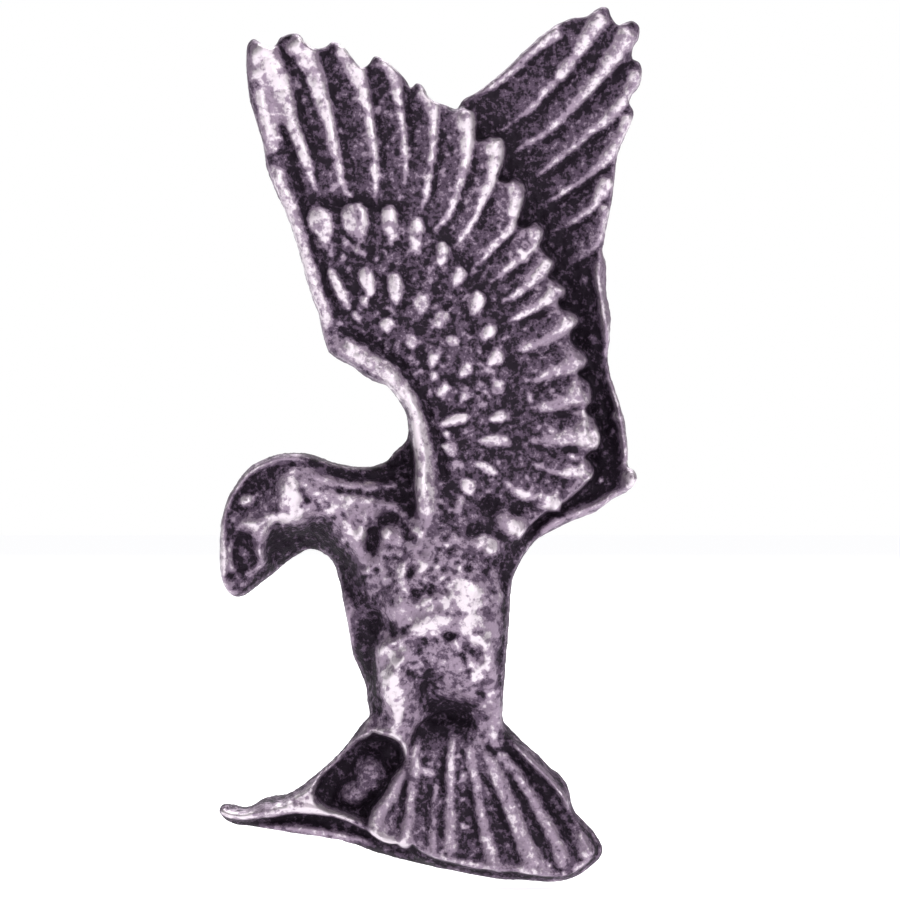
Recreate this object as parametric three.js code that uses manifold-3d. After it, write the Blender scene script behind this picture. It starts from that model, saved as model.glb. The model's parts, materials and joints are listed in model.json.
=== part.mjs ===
// Cast eagle badge with a soldered post and a squeeze-to-release clutch.
//
// Frame, in millimetres: the origin is where the post's axis meets the casting's
// flat back. +Z is up as the badge is worn, +X is to the viewer's right, the
// relief faces -Y, and the post and its clutch stand out along +Y.
import * as THREE from 'three';
import { mergeVertices } from 'three/addons/utils/BufferGeometryUtils.js';
import Module from 'manifold-3d';

const wasm = await Module();
wasm.setup();

// ---- Driving dimensions -------------------------------------------------

// How far each part of the relief stands in front of the flat back.
const RELIEF = {
  frontWing: 3.1, rearWing: 1.5, neck: 2.5, flank: 2.6, tail: 2.1, leg: 2.5, pocket: 0.9,
};
const RIB_SIDES = 6;          // facets round a feather rib
const RIB_PROUD = 0.45;       // how far a rib's crest stands above its plate
const PAD_PROUD = 0.4;        // the same for a covert pad

const POST = {
  headRadius: 2.4, headThick: 0.5, shaftRadius: 0.575, length: 9.5, tipRadius: 0.12,
  tipLength: 1.3, grooveDepth: 0.13, grooveWidth: 0.5, grooveFromTip: 2.4, facets: 18,
};
const SOLDER = { reach: 0.55, height: 0.4 };
const CUP = {
  radius: 5.75, sheet: 0.35, face: 1.2, rim: 3.2, corner: 0.6, lip: 0.75, holeRadius: 0.75,
  eyeletRadius: 1.15, eyeletRise: 0.25, facets: 36,
};
const COVER = { radius: 5.3, sheet: 0.3, top: 2.8, skirt: 0.3, slotX: 3.2, slotZ: 2.5 };
const JAW = {
  sheet: 0.3, width: 4.4, tongue: 1.45, riserX: 2.9, nearY: 1.65, farY: 2.05,
  waistY: 3.5, tipX: 5.1, tipY: 6.8, gripGap: 0.045, travel: 0.55,
};
const SPRING = { wireRadius: 0.2, y: 3.5, leg: 1.3, shoulder: 0.3, gap: 0.05, facets: 8 };

// ---- Colours ------------------------------------------------------------

const finish = (color, roughness, metalness) => (
  new THREE.MeshStandardMaterial({ color, roughness, metalness })
);
const PEWTER = 0x8d8390;
const STEEL = 0xb9bcc0;
const TIN = 0xa9a7a4;
const BRASS = 0xc9a657;

// ---- Making and joining solids -------------------------------------------

/** A manifold solid from a closed three.js geometry. */
function toSolid(geometry) {
  const bare = geometry.index ? geometry : geometry.clone();
  bare.deleteAttribute('normal');
  bare.deleteAttribute('uv');
  const merged = mergeVertices(bare, 1e-5);
  const vertProperties = new Float32Array(merged.attributes.position.array);
  const triVerts = new Uint32Array(merged.index.array);
  return new wasm.Manifold(new wasm.Mesh({ numProp: 3, vertProperties, triVerts }));
}

/** A three.js geometry from a manifold solid. */
function toGeometry(solid) {
  const { vertProperties, triVerts } = solid.getMesh();
  const geometry = new THREE.BufferGeometry();
  geometry.setAttribute('position', new THREE.BufferAttribute(vertProperties, 3));
  geometry.setIndex(new THREE.BufferAttribute(triVerts, 1));
  geometry.computeVertexNormals();
  return geometry;
}

const join = (solids) => solids.reduce((sum, next) => sum.add(next));

/** A straight-sided slab with an (x, z) outline, from y = back to y = front. */
function slab(outline, back, front) {
  const shape = new THREE.Shape(outline.map(([x, z]) => new THREE.Vector2(x, z)));
  const depth = back - front;
  const geometry = new THREE.ExtrudeGeometry(shape, { depth, bevelEnabled: false });
  geometry.rotateX(Math.PI / 2);
  geometry.translate(0, back, 0);
  return toSolid(geometry);
}

/** A plate of the casting: its outline, from the flat back to its relief height. */
const plate = (outline, relief) => slab(outline, 0, -relief);

/** An ellipsoid at (x, z) whose crest stands at the given relief height. */
function swell(x, z, halfWidth, halfHeight, relief, tilt = 0, base = 0) {
  const geometry = new THREE.SphereGeometry(1, 20, 12);
  geometry.scale(halfWidth, relief - base, halfHeight);
  geometry.rotateY(THREE.MathUtils.degToRad(tilt));
  geometry.translate(x, -base, z);
  return toSolid(geometry);
}

/** A small raised pad on a plate of the given relief. */
function pad([x, z, width, height], relief) {
  const geometry = new THREE.OctahedronGeometry(1, 1);
  geometry.scale(width / 2, PAD_PROUD, height / 2);
  geometry.translate(x, -relief, z);
  return toSolid(geometry);
}

/**
 * A rib that follows (x, z) points from its thin root to its blunt tip, lying on a
 * plate of the given relief. Its section is a spindle, bent along the curve.
 */
function rib(path, width, relief, proud = RIB_PROUD) {
  const spine = new THREE.CatmullRomCurve3(path.map(([x, z]) => new THREE.Vector3(x, 0, z)));
  const profile = [[0, 0], [0.4, 0.04], [0.55, 0.35], [0.7, 0.7], [1, 0.9], [0.7, 0.98], [0, 1]];
  const spindle = new THREE.LatheGeometry(
    profile.map(([radius, along]) => new THREE.Vector2(radius, along)), RIB_SIDES,
  );
  const position = spindle.attributes.position;
  const out = new THREE.Vector3(0, -1, 0);
  for (let i = 0; i < position.count; i += 1) {
    const along = THREE.MathUtils.clamp(position.getY(i), 0, 1);
    const side = new THREE.Vector3().crossVectors(spine.getTangentAt(along), out);
    const point = spine.getPointAt(along)
      .addScaledVector(side, position.getX(i) * width / 2)
      .addScaledVector(out, relief + position.getZ(i) * proud);
    position.setXYZ(i, point.x, point.y, point.z);
  }
  return toSolid(spindle);
}

/** A body turned about the Y axis from (radius, y) points. */
function turned(profile, facets) {
  const points = profile.map(([radius, y]) => new THREE.Vector2(radius, y));
  return new THREE.LatheGeometry(points, facets);
}

/** A block between two opposite corners. */
function block(low, high) {
  const size = new THREE.Vector3().subVectors(high, low);
  const geometry = new THREE.BoxGeometry(size.x, size.y, size.z);
  geometry.translate(...new THREE.Vector3().addVectors(low, high).multiplyScalar(0.5).toArray());
  return toSolid(geometry);
}

// ---- The eagle, cast in one piece ----------------------------------------

const FRONT_WING = [
  [-5.5, -3.9], [-6.0, -2.2], [-6.65, -0.2], [-7.35, 2.0], [-8.2, 4.0], [-8.65, 6.0],
  [-9.1, 8.0], [-9.1, 9.1], [-8.8, 9.6], [-8.05, 9.15], [-7.6, 9.65], [-7.2, 9.83],
  [-6.85, 9.8], [-6.1, 9.15], [-5.4, 9.48], [-4.9, 9.25], [-4.13, 8.36], [-3.56, 8.85],
  [-3.1, 8.65], [-2.0, 7.5], [-1.72, 7.7], [-1.3, 7.15], [-0.5, 6.75], [0.0, 6.6],
  [0.3, 6.7], [0.7, 6.2], [0.7, 5.5], [1.1, 5.2], [1.5, 5.35], [1.95, 4.6], [1.75, 3.6],
  [2.75, 3.2], [2.6, 1.7], [3.3, 1.6], [3.65, 1.3], [3.6, 0.8], [4.05, 0.0], [4.0, -0.5],
  [4.6, -1.1], [4.45, -1.5], [5.05, -2.6], [5.2, -3.8], [5.6, -5.4], [6.0, -7.05],
  [6.28, -7.6], [6.1, -8.15], [5.6, -8.5], [6.0, -9.1], [5.75, -9.6], [4.6, -10.5],
  [3.1, -11.6], [2.65, -12.05], [1.8, -12.3], [1.2, -12.7], [-0.8, -12.4], [-1.7, -10.5],
  [-2.1, -7.3], [-2.3, -6.36], [-2.67, -5.8], [-3.5, -5.22], [-4.5, -4.56], [-5.2, -4.15],
];
const REAR_WING = [
  [0.0, 6.6], [0.93, 7.38], [2.0, 8.22], [3.0, 9.18], [4.0, 10.02], [4.96, 10.53],
  [5.62, 10.61], [6.28, 11.02], [6.54, 10.97], [6.69, 10.6], [6.98, 10.24], [7.6, 10.42],
  [7.9, 10.17], [7.86, 9.73], [7.6, 8.8], [7.9, 8.63], [8.02, 8.26], [7.9, 7.67],
  [7.46, 6.87], [7.64, 6.54], [7.57, 6.06], [7.16, 5.18], [6.83, 3.57], [6.38, 0.8],
  [6.47, -1.33], [6.65, -2.43], [6.54, -4.2], [6.91, -5.73], [7.35, -7.56], [7.42, -8.9],
  [7.79, -9.47], [7.46, -9.9], [6.8, -10.28], [6.0, -10.87], [4.3, -11.57], [3.14, -12.37],
  [1.5, -11.5],
];
const HEAD_AND_NECK = [
  [-2.1, -7.3], [-2.2, -7.8], [-3.08, -8.69], [-4.26, -8.94], [-5.87, -8.58],
  [-7.04, -8.36], [-8.3, -8.58], [-8.95, -8.94], [-9.46, -9.57], [-9.9, -10.3],
  [-10.2, -11.6], [-10.25, -13.0], [-10.16, -13.8], [-9.9, -14.33], [-9.53, -14.53],
  [-9.17, -14.44], [-8.07, -13.6], [-7.33, -13.0], [-6.67, -12.57], [-6.23, -12.5],
  [-5.8, -12.65], [-5.43, -12.94], [-5.2, -13.45], [-2.0, -14.0], [-1.0, -9.0],
];
const FLANK = [
  [1.2, -10.5], [3.14, -12.37], [2.77, -12.96], [2.48, -13.55], [2.33, -14.1],
  [2.18, -16.3], [2.04, -18.2], [1.96, -19.3], [2.2, -20.3], [-1.0, -20.8],
  [-3.2, -20.6], [-4.0, -20.03], [-3.8, -19.75], [-3.94, -18.4], [-4.5, -17.0],
  [-4.85, -15.1], [-5.2, -13.45], [-4.4, -11.0],
];
const TAIL = [
  [-2.0, -19.8], [2.0, -20.0], [2.9, -20.95], [4.06, -22.05], [4.58, -22.5],
  [4.87, -23.07], [4.98, -23.66], [5.6, -24.46], [6.3, -25.5], [6.23, -25.86],
  [5.8, -26.3], [5.3, -26.66], [4.8, -26.85], [4.0, -26.96], [2.0, -26.85],
  [-0.33, -26.44], [-1.6, -25.7], [-2.8, -25.35], [-3.5, -25.1], [-3.9, -24.6],
  [-3.3, -23.4], [-2.3, -21.9], [-2.1, -21.2],
];
const LEG_AND_FOOT = [
  [-2.6, -19.4], [-3.8, -19.75], [-4.47, -20.63], [-5.47, -21.77], [-6.47, -22.63],
  [-7.4, -23.23], [-8.47, -23.43], [-9.33, -23.77], [-10.13, -23.65], [-10.31, -23.83],
  [-10.2, -24.1], [-8.5, -24.3], [-7.0, -24.2], [-5.0, -24.4], [-4.2, -24.7],
  [-4.2, -24.2], [-5.6, -23.6], [-5.9, -23.0], [-4.9, -21.4], [-3.6, -20.55],
  [-2.7, -20.4],
];
const POCKET_FLOOR = [
  [-2.6, -19.8], [-4.47, -20.63], [-6.47, -22.63], [-8.47, -23.5], [-10.2, -24.0],
  [-9.67, -24.47], [-8.0, -24.7], [-5.0, -25.17], [-3.67, -25.63], [-0.33, -26.44],
  [-1.5, -22.0],
];

// Flight-feather ribs, root to tip, then the width at the tip.
const FRONT_RIBS = [
  [[[-6.1, 3.0], [-6.6, 4.5], [-7.4, 6.9], [-8.3, 9.2]], 1.0],
  [[[-4.5, 2.7], [-5.4, 5.0], [-5.86, 7.0], [-7.0, 9.5]], 1.0],
  [[[-3.48, 2.45], [-3.67, 5.0], [-4.06, 7.0], [-5.3, 9.3]], 0.8],
  [[[-2.24, 3.25], [-2.35, 5.0], [-2.75, 8.0], [-3.45, 8.7]], 0.7],
  [[[-1.56, 2.0], [-1.08, 5.0], [-1.03, 6.5], [-1.65, 7.55]], 0.65],
  [[[-0.97, 1.33], [0.0, 3.0], [0.38, 5.0], [0.27, 6.5]], 0.6],
  [[[0.04, 0.68], [0.77, 2.0], [1.56, 4.0], [1.41, 5.25]], 0.6],
  [[[0.62, -0.35], [1.8, 0.97], [2.42, 2.3], [2.47, 3.3]], 0.55],
  [[[1.5, -0.93], [2.75, 0.1], [3.26, 0.75], [3.4, 1.45]], 0.5],
  [[[2.7, -1.33], [3.35, -0.67], [3.8, -0.23], [3.8, 0.28]], 0.45],
  [[[2.25, -2.62], [3.43, -1.92], [4.1, -1.48], [4.3, -0.95]], 0.5],
  [[[2.77, -3.86], [4.0, -3.3], [4.6, -2.8], [4.85, -2.2]], 0.55],
  [[[2.84, -5.22], [3.57, -5.04], [4.23, -4.78], [5.15, -3.95]], 0.6],
  [[[3.13, -6.35], [3.87, -6.32], [4.6, -6.02], [5.5, -5.6]], 0.7],
  [[[3.28, -7.78], [4.0, -7.82], [4.74, -7.64], [5.9, -7.35]], 0.75],
  [[[3.28, -8.8], [4.1, -9.03], [4.8, -9.14], [5.7, -8.95]], 0.6],
  [[[2.11, -9.65], [2.77, -10.05], [3.58, -10.39], [4.6, -10.3]], 0.6],
  [[[1.2, -10.3], [1.8, -11.0], [2.3, -11.5], [2.6, -11.95]], 0.9],
  [[[0.5, -11.2], [0.9, -11.8], [1.15, -12.2], [1.25, -12.55]], 0.7],
];
const REAR_RIBS = [
  [[[0.8, 7.0], [2.3, 8.2], [3.4, 9.2], [4.6, 10.1]], 0.5],
  [[[1.8, 5.6], [3.6, 7.05], [5.0, 8.8], [6.4, 10.7]], 0.55],
  [[[2.1, 4.5], [4.0, 5.8], [6.1, 8.0], [7.55, 10.1]], 0.6],
  [[[3.2, 3.55], [5.0, 4.95], [6.8, 6.5], [7.8, 8.3]], 0.55],
  [[[3.4, 2.3], [5.0, 3.3], [6.4, 4.4], [7.45, 6.4]], 0.5],
  [[[4.0, 1.2], [5.5, 2.1], [6.1, 2.6], [6.65, 3.6]], 0.45],
  [[[4.4, -0.4], [5.5, 0.2], [6.1, 0.8], [6.5, 2.4]], 0.4],
  [[[6.15, 0.2], [6.15, -0.8], [6.3, -2.0], [6.5, -3.9]], 0.4],
  [[[6.6, -4.9], [7.0, -6.3], [7.2, -8.0], [7.5, -9.3]], 0.5],
  [[[3.2, -12.1], [4.2, -11.5], [5.6, -10.8], [7.3, -9.8]], 0.55],
];
const TAIL_RIBS = [
  [[[-2.3, -22.0], [-3.0, -23.0], [-3.8, -24.1], [-3.6, -24.9]], 0.5],
  [[[-1.6, -20.9], [-1.9, -22.6], [-2.1, -24.3], [-2.2, -25.1]], 0.5],
  [[[-0.2, -20.6], [-0.35, -22.5], [-0.4, -24.5], [-0.5, -25.9]], 0.5],
  [[[0.6, -21.0], [0.85, -22.8], [1.1, -24.4], [1.6, -26.2]], 0.5],
  [[[1.2, -21.0], [2.0, -23.0], [2.6, -24.5], [3.2, -26.2]], 0.6],
  [[[2.2, -21.9], [3.3, -23.4], [4.1, -24.8], [4.7, -26.2]], 0.5],
  [[[3.6, -22.4], [4.5, -23.8], [5.1, -24.9], [5.7, -25.8]], 0.5],
];
// Covert pads on the front wing: x, z, width, height.
const COVERT_PADS = [
  [-5.75, 1.5, 0.7, 1.1], [-4.3, 1.6, 0.75, 1.0], [-2.9, 1.6, 0.5, 1.0],
  [-1.75, 1.1, 0.6, 1.1], [-0.65, 0.2, 0.55, 0.8], [0.1, -0.75, 0.55, 0.8],
  [0.85, -1.9, 0.65, 0.8], [1.35, -3.15, 0.6, 0.55], [1.6, -4.25, 0.7, 0.5],
  [1.75, -5.5, 0.6, 0.5], [1.75, -6.75, 0.75, 0.45], [1.6, -7.8, 1.2, 0.55],
  [1.2, -8.95, 0.8, 0.4], [0.43, -9.8, 0.6, 0.6], [-5.0, -1.2, 0.5, 1.4],
  [-3.9, -1.2, 0.6, 1.2], [-2.65, -1.3, 0.55, 1.1], [-1.5, -1.9, 0.7, 0.7],
  [-0.7, -2.6, 0.6, 0.55], [-0.25, -3.55, 0.5, 0.5], [0.35, -4.75, 0.6, 0.5],
  [0.35, -5.9, 0.4, 0.5], [-0.2, -6.9, 1.1, 0.5], [-0.4, -8.1, 0.6, 0.5],
  [-4.3, -2.5, 0.6, 0.4], [-3.05, -2.9, 0.55, 0.5], [-1.95, -3.55, 0.6, 0.6],
  [-1.0, -4.25, 0.6, 0.5], [-0.65, -5.65, 0.6, 0.5],
];

function frontWing() {
  const leadingEdge = [[-7.8, 3.9], [-7.15, 2.3], [-6.35, -0.2], [-5.5, -3.1]];
  const arm = [[-1.2, -11.6], [-1.1, -9.0], [-1.9, -6.3], [-3.3, -4.6], [-5.3, -3.6]];
  return [
    plate(FRONT_WING, RELIEF.frontWing),
    ...FRONT_RIBS.map(([path, width]) => rib(path, width, RELIEF.frontWing)),
    ...COVERT_PADS.map((place) => pad(place, RELIEF.frontWing)),
    rib(leadingEdge, 0.8, RELIEF.frontWing),
    rib(arm, 1.0, RELIEF.frontWing, 0.7),
  ];
}

function rearWing() {
  return [
    plate(REAR_WING, RELIEF.rearWing),
    ...REAR_RIBS.map(([path, width]) => rib(path, width, RELIEF.rearWing)),
  ];
}

function headAndBody() {
  return [
    plate(HEAD_AND_NECK, RELIEF.neck),
    plate(FLANK, RELIEF.flank),
    swell(-7.9, -10.7, 2.05, 2.0, 3.9),
    swell(-4.6, -10.9, 3.6, 1.9, 3.8),
    swell(-0.9, -14.6, 3.1, 5.6, 4.9),
    swell(-2.3, -18.1, 1.4, 2.3, 4.5, 8),
    swell(-9.05, -10.35, 0.35, 0.35, 3.75, 0, 3.0),
  ];
}

function tailAndLeg() {
  const toe = [[-4.6, -24.2], [-6.0, -23.7], [-8.0, -23.85], [-10.1, -23.85]];
  const shank = [[-5.6, -22.6], [-4.7, -21.4], [-3.8, -20.4], [-2.8, -19.2]];
  return [
    plate(TAIL, RELIEF.tail),
    ...TAIL_RIBS.map(([path, width]) => rib(path, width, RELIEF.tail)),
    plate(LEG_AND_FOOT, RELIEF.leg),
    rib(shank, 1.3, RELIEF.leg, 0.9),
    rib(toe, 0.7, RELIEF.leg, 0.4),
    plate(POCKET_FLOOR, RELIEF.pocket),
    swell(-3.7, -22.3, 0.9, 0.9, 1.6),
    swell(-4.5, -23.2, 0.7, 0.7, 1.5),
  ];
}

function eagleCasting() {
  const behind = block(new THREE.Vector3(-20, 0, -40), new THREE.Vector3(20, 10, 20));
  const relief = join([...rearWing(), ...frontWing(), ...headAndBody(), ...tailAndLeg()]);
  return toGeometry(relief.subtract(behind));
}

// ---- The post -------------------------------------------------------------

function pinPost() {
  const p = POST;
  const grooveTop = p.length - p.grooveFromTip;
  const neck = p.shaftRadius - p.grooveDepth;
  return turned([
    [0, 0], [p.headRadius, 0], [p.headRadius, p.headThick], [p.shaftRadius, p.headThick],
    [p.shaftRadius, grooveTop - p.grooveWidth], [neck, grooveTop - 0.6 * p.grooveWidth],
    [neck, grooveTop - 0.3 * p.grooveWidth], [p.shaftRadius, grooveTop],
    [p.shaftRadius, p.length - p.tipLength], [p.tipRadius, p.length - 0.1], [0, p.length],
  ], p.facets);
}

function solderBead() {
  const inner = POST.headRadius;
  const outer = inner + SOLDER.reach;
  return turned([
    [inner, 0], [outer, 0], [inner + 0.45 * SOLDER.reach, 0.4 * SOLDER.height],
    [inner, SOLDER.height], [inner, 0],
  ], POST.facets);
}

// ---- The clutch -----------------------------------------------------------

/** The drawn cup: an eyelet for the post, a flat face, a wall and a rolled-in lip. */
function clutchCup() {
  const c = CUP;
  const inner = c.radius - c.sheet;
  return turned([
    [c.holeRadius, c.face - c.eyeletRise], [c.eyeletRadius, c.face], [c.radius - c.corner, c.face],
    [c.radius - 0.3 * c.corner, c.face + 0.3 * c.corner], [c.radius, c.face + c.corner],
    [c.radius, c.rim - 0.2], [c.radius - 0.2, c.rim], [c.radius - c.lip, c.rim],
    [c.radius - c.lip, c.rim - c.sheet], [inner, c.rim - c.sheet],
    [inner, c.face + c.corner + 0.1], [inner - 0.2, c.face + c.sheet + 0.05],
    [inner - 0.5, c.face + c.sheet], [c.eyeletRadius, c.face + c.sheet],
    [c.holeRadius, c.face + c.sheet - 0.1], [c.holeRadius, c.face - c.eyeletRise],
  ], c.facets);
}

/** The cover inside the lip: a slotted plate on a skirt that stands on the cup's floor. */
function clutchCover() {
  const c = COVER;
  const floor = CUP.face + CUP.sheet + 0.3;
  const underside = c.top - c.sheet;
  const disc = turned([
    [0, underside], [c.radius - c.skirt, underside], [c.radius - c.skirt, floor],
    [c.radius, floor], [c.radius, c.top], [0, c.top],
  ], CUP.facets);
  const slot = block(
    new THREE.Vector3(-c.slotX, 0, -c.slotZ), new THREE.Vector3(c.slotX, 10, c.slotZ),
  );
  return toGeometry(toSolid(disc).subtract(slot));
}

/** A long hole with round ends, as an (x, z) path to cut from a sheet. */
function longHole(fromX, toX, radius) {
  const hole = new THREE.Path();
  hole.absarc(toX - radius, 0, radius, -Math.PI / 2, Math.PI / 2, false);
  hole.absarc(fromX + radius, 0, radius, Math.PI / 2, 1.5 * Math.PI, false);
  return hole;
}

/**
 * One jaw, for the +X side: a tongue that crosses the post, with a long hole whose
 * far end grips it, and a finger wing bent up from the tongue and leaning outward.
 */
function clutchJaw(side, tongueY) {
  const j = JAW;
  const half = j.width / 2;
  const grip = POST.shaftRadius + j.gripGap;
  const outline = new THREE.Shape([
    new THREE.Vector2(-j.tongue, -half * 0.6), new THREE.Vector2(-j.tongue + 0.5, -half),
    new THREE.Vector2(j.riserX, -half), new THREE.Vector2(j.riserX, half),
    new THREE.Vector2(-j.tongue + 0.5, half), new THREE.Vector2(-j.tongue, half * 0.6),
  ]);
  outline.holes.push(longHole(-grip, grip + j.travel, grip));
  const tongue = new THREE.ExtrudeGeometry(outline, {
    depth: j.sheet, bevelEnabled: false, curveSegments: 8,
  });
  tongue.rotateX(Math.PI / 2);
  tongue.translate(0, tongueY + j.sheet, 0);

  const lean = new THREE.Vector2(j.tipX - j.riserX, j.tipY - j.waistY).normalize();
  const across = new THREE.Vector2(-lean.y, lean.x).multiplyScalar(j.sheet);
  const profile = new THREE.Shape([
    new THREE.Vector2(j.riserX, tongueY), new THREE.Vector2(j.riserX, j.waistY),
    new THREE.Vector2(j.tipX, j.tipY), new THREE.Vector2(j.tipX, j.tipY).add(across),
    new THREE.Vector2(j.riserX - j.sheet, j.waistY + 0.1),
    new THREE.Vector2(j.riserX - j.sheet, tongueY),
  ]);
  const wing = new THREE.ExtrudeGeometry(profile, { depth: j.width, bevelEnabled: false });
  wing.translate(0, 0, -half);

  // The wing's free end is rounded off across its width.
  const round = new THREE.Shape();
  round.moveTo(tongueY - 1, -half);
  round.lineTo(j.tipY - 1.2, -half);
  round.quadraticCurveTo(j.tipY + 0.4, -half, j.tipY + 0.4, 0);
  round.quadraticCurveTo(j.tipY + 0.4, half, j.tipY - 1.2, half);
  round.lineTo(tongueY - 1, half);
  const keep = new THREE.ExtrudeGeometry(round, { depth: 20, bevelEnabled: false, curveSegments: 6 });
  keep.applyMatrix4(new THREE.Matrix4().makeBasis(
    new THREE.Vector3(0, 1, 0), new THREE.Vector3(0, 0, 1), new THREE.Vector3(1, 0, 0),
  ));
  keep.translate(-5, 0, 0);
  const bent = toSolid(wing).intersect(toSolid(keep)).add(toSolid(tongue));
  const geometry = toGeometry(bent);
  if (side < 0) {
    geometry.rotateY(Math.PI);
  }
  return geometry;
}

/** The bow of wire that pushes the two wings apart. */
function clutchSpring() {
  const s = SPRING;
  const reach = JAW.riserX - JAW.sheet - s.wireRadius - s.gap;
  const bow = new THREE.CurvePath();
  const at = (x, z) => new THREE.Vector3(x, s.y, z);
  const crown = Array.from({ length: 9 }, (_, i) => {
    const angle = Math.PI * (i / 8);
    return at(reach * Math.cos(angle), s.shoulder + reach * Math.sin(angle));
  });
  bow.add(new THREE.CatmullRomCurve3([at(reach, -s.leg), ...crown, at(-reach, -s.leg)]));
  const circle = new THREE.Shape();
  circle.absarc(0, 0, s.wireRadius, 0, 2 * Math.PI, false);
  return new THREE.ExtrudeGeometry(circle, {
    steps: 28, curveSegments: s.facets / 2, extrudePath: bow, bevelEnabled: false,
  });
}

// ---- Assembly ---------------------------------------------------------------

const badge = new THREE.Group();
badge.name = 'eagle_badge';

function place(name, geometry, material, parent) {
  const mesh = new THREE.Mesh(geometry, material);
  mesh.name = name;
  parent.add(mesh);
}

const clutch = new THREE.Group();
badge.add(clutch);

place('eagle_casting', eagleCasting(), finish(PEWTER, 0.45, 0.9), badge);
place('pin_post', pinPost(), finish(STEEL, 0.3, 1), badge);
place('solder_bead', solderBead(), finish(TIN, 0.4, 0.9), badge);
place('clutch_cup', clutchCup(), finish(BRASS, 0.28, 1), clutch);
place('clutch_cover', clutchCover(), finish(BRASS, 0.28, 1), clutch);
place('clutch_jaw_right', clutchJaw(1, JAW.nearY), finish(BRASS, 0.28, 1), clutch);
place('clutch_jaw_left', clutchJaw(-1, JAW.farY), finish(BRASS, 0.28, 1), clutch);
place('clutch_spring', clutchSpring(), finish(STEEL, 0.3, 1), clutch);

export default badge;
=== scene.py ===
"""Looks for a cast pewter eagle badge with a soldered post and a squeeze-release clutch.

Millimetres are used while a piece is shaped, and each mesh is turned into metres as it is
made. The relief faces -Y, so a height above the casting's flat back is a distance along -Y.
"""
import json
import logging
import math
from dataclasses import dataclass
from enum import Enum, IntEnum
from typing import Any, Callable, Sequence

import bmesh
import bpy
import numpy as np
from mathutils import Matrix, Vector
from mathutils.bvhtree import BVHTree
from mathutils.geometry import delaunay_2d_cdt

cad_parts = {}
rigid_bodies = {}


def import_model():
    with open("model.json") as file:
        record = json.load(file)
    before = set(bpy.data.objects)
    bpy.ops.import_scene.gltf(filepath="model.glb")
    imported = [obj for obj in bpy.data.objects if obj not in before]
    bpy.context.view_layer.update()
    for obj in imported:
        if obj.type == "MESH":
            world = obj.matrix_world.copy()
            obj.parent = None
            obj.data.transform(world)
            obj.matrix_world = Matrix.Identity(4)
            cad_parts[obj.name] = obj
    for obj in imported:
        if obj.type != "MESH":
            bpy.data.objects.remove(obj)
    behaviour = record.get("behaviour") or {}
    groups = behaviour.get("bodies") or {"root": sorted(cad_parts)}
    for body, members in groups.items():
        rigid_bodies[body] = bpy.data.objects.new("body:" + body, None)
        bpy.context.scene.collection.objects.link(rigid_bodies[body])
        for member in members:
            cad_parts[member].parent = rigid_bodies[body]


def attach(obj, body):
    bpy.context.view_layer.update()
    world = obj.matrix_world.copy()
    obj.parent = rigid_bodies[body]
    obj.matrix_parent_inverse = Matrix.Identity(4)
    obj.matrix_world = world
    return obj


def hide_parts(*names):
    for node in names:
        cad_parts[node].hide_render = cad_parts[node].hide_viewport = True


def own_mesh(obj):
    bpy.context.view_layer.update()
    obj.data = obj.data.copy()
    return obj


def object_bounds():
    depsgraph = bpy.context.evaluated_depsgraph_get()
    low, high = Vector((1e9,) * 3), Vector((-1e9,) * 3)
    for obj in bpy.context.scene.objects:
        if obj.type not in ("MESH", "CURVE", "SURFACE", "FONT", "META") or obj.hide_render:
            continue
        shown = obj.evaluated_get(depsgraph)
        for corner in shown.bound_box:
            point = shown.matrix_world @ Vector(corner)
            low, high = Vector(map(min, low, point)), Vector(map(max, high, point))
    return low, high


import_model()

LOG = logging.getLogger("badge")
MM = 0.001
CAD_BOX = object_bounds()

Point = tuple[float, float]
Triple = tuple[float, float, float]
Array = np.ndarray
Shell = tuple[Array, list[tuple[int, ...]]]
Metal = bpy.types.Material
Piece = bpy.types.Object


# ---- Nodes -------------------------------------------------------------------------------


class Sock:
    """A node socket that can be used in an expression."""

    def __init__(self, tree: "NodeMaker", socket: bpy.types.NodeSocket) -> None:
        """Keeps the socket and what adds nodes beside it."""
        self.tree = tree
        self.socket = socket

    def _math(self, operation: str, *values: Any) -> "Sock":
        """Adds one Math node on sockets or numbers."""
        return self.tree.node("ShaderNodeMath", {"operation": operation}, list(values))

    def __add__(self, other: Any) -> "Sock":
        """Sum."""
        return self._math("ADD", self, other)

    def __radd__(self, other: Any) -> "Sock":
        """Sum, with the number first."""
        return self._math("ADD", other, self)

    def __sub__(self, other: Any) -> "Sock":
        """Difference."""
        return self._math("SUBTRACT", self, other)

    def __rsub__(self, other: Any) -> "Sock":
        """Difference, with the number first."""
        return self._math("SUBTRACT", other, self)

    def __mul__(self, other: Any) -> "Sock":
        """Product."""
        return self._math("MULTIPLY", self, other)

    def __rmul__(self, other: Any) -> "Sock":
        """Product, with the number first."""
        return self._math("MULTIPLY", other, self)

    def step(self, low: float, high: float) -> "Sock":
        """A smooth step from 0 at low to 1 at high."""
        values = {"Value": self, "From Min": low, "From Max": high}
        return self.tree.node("ShaderNodeMapRange", {"interpolation_type": "SMOOTHSTEP"}, values)


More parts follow.
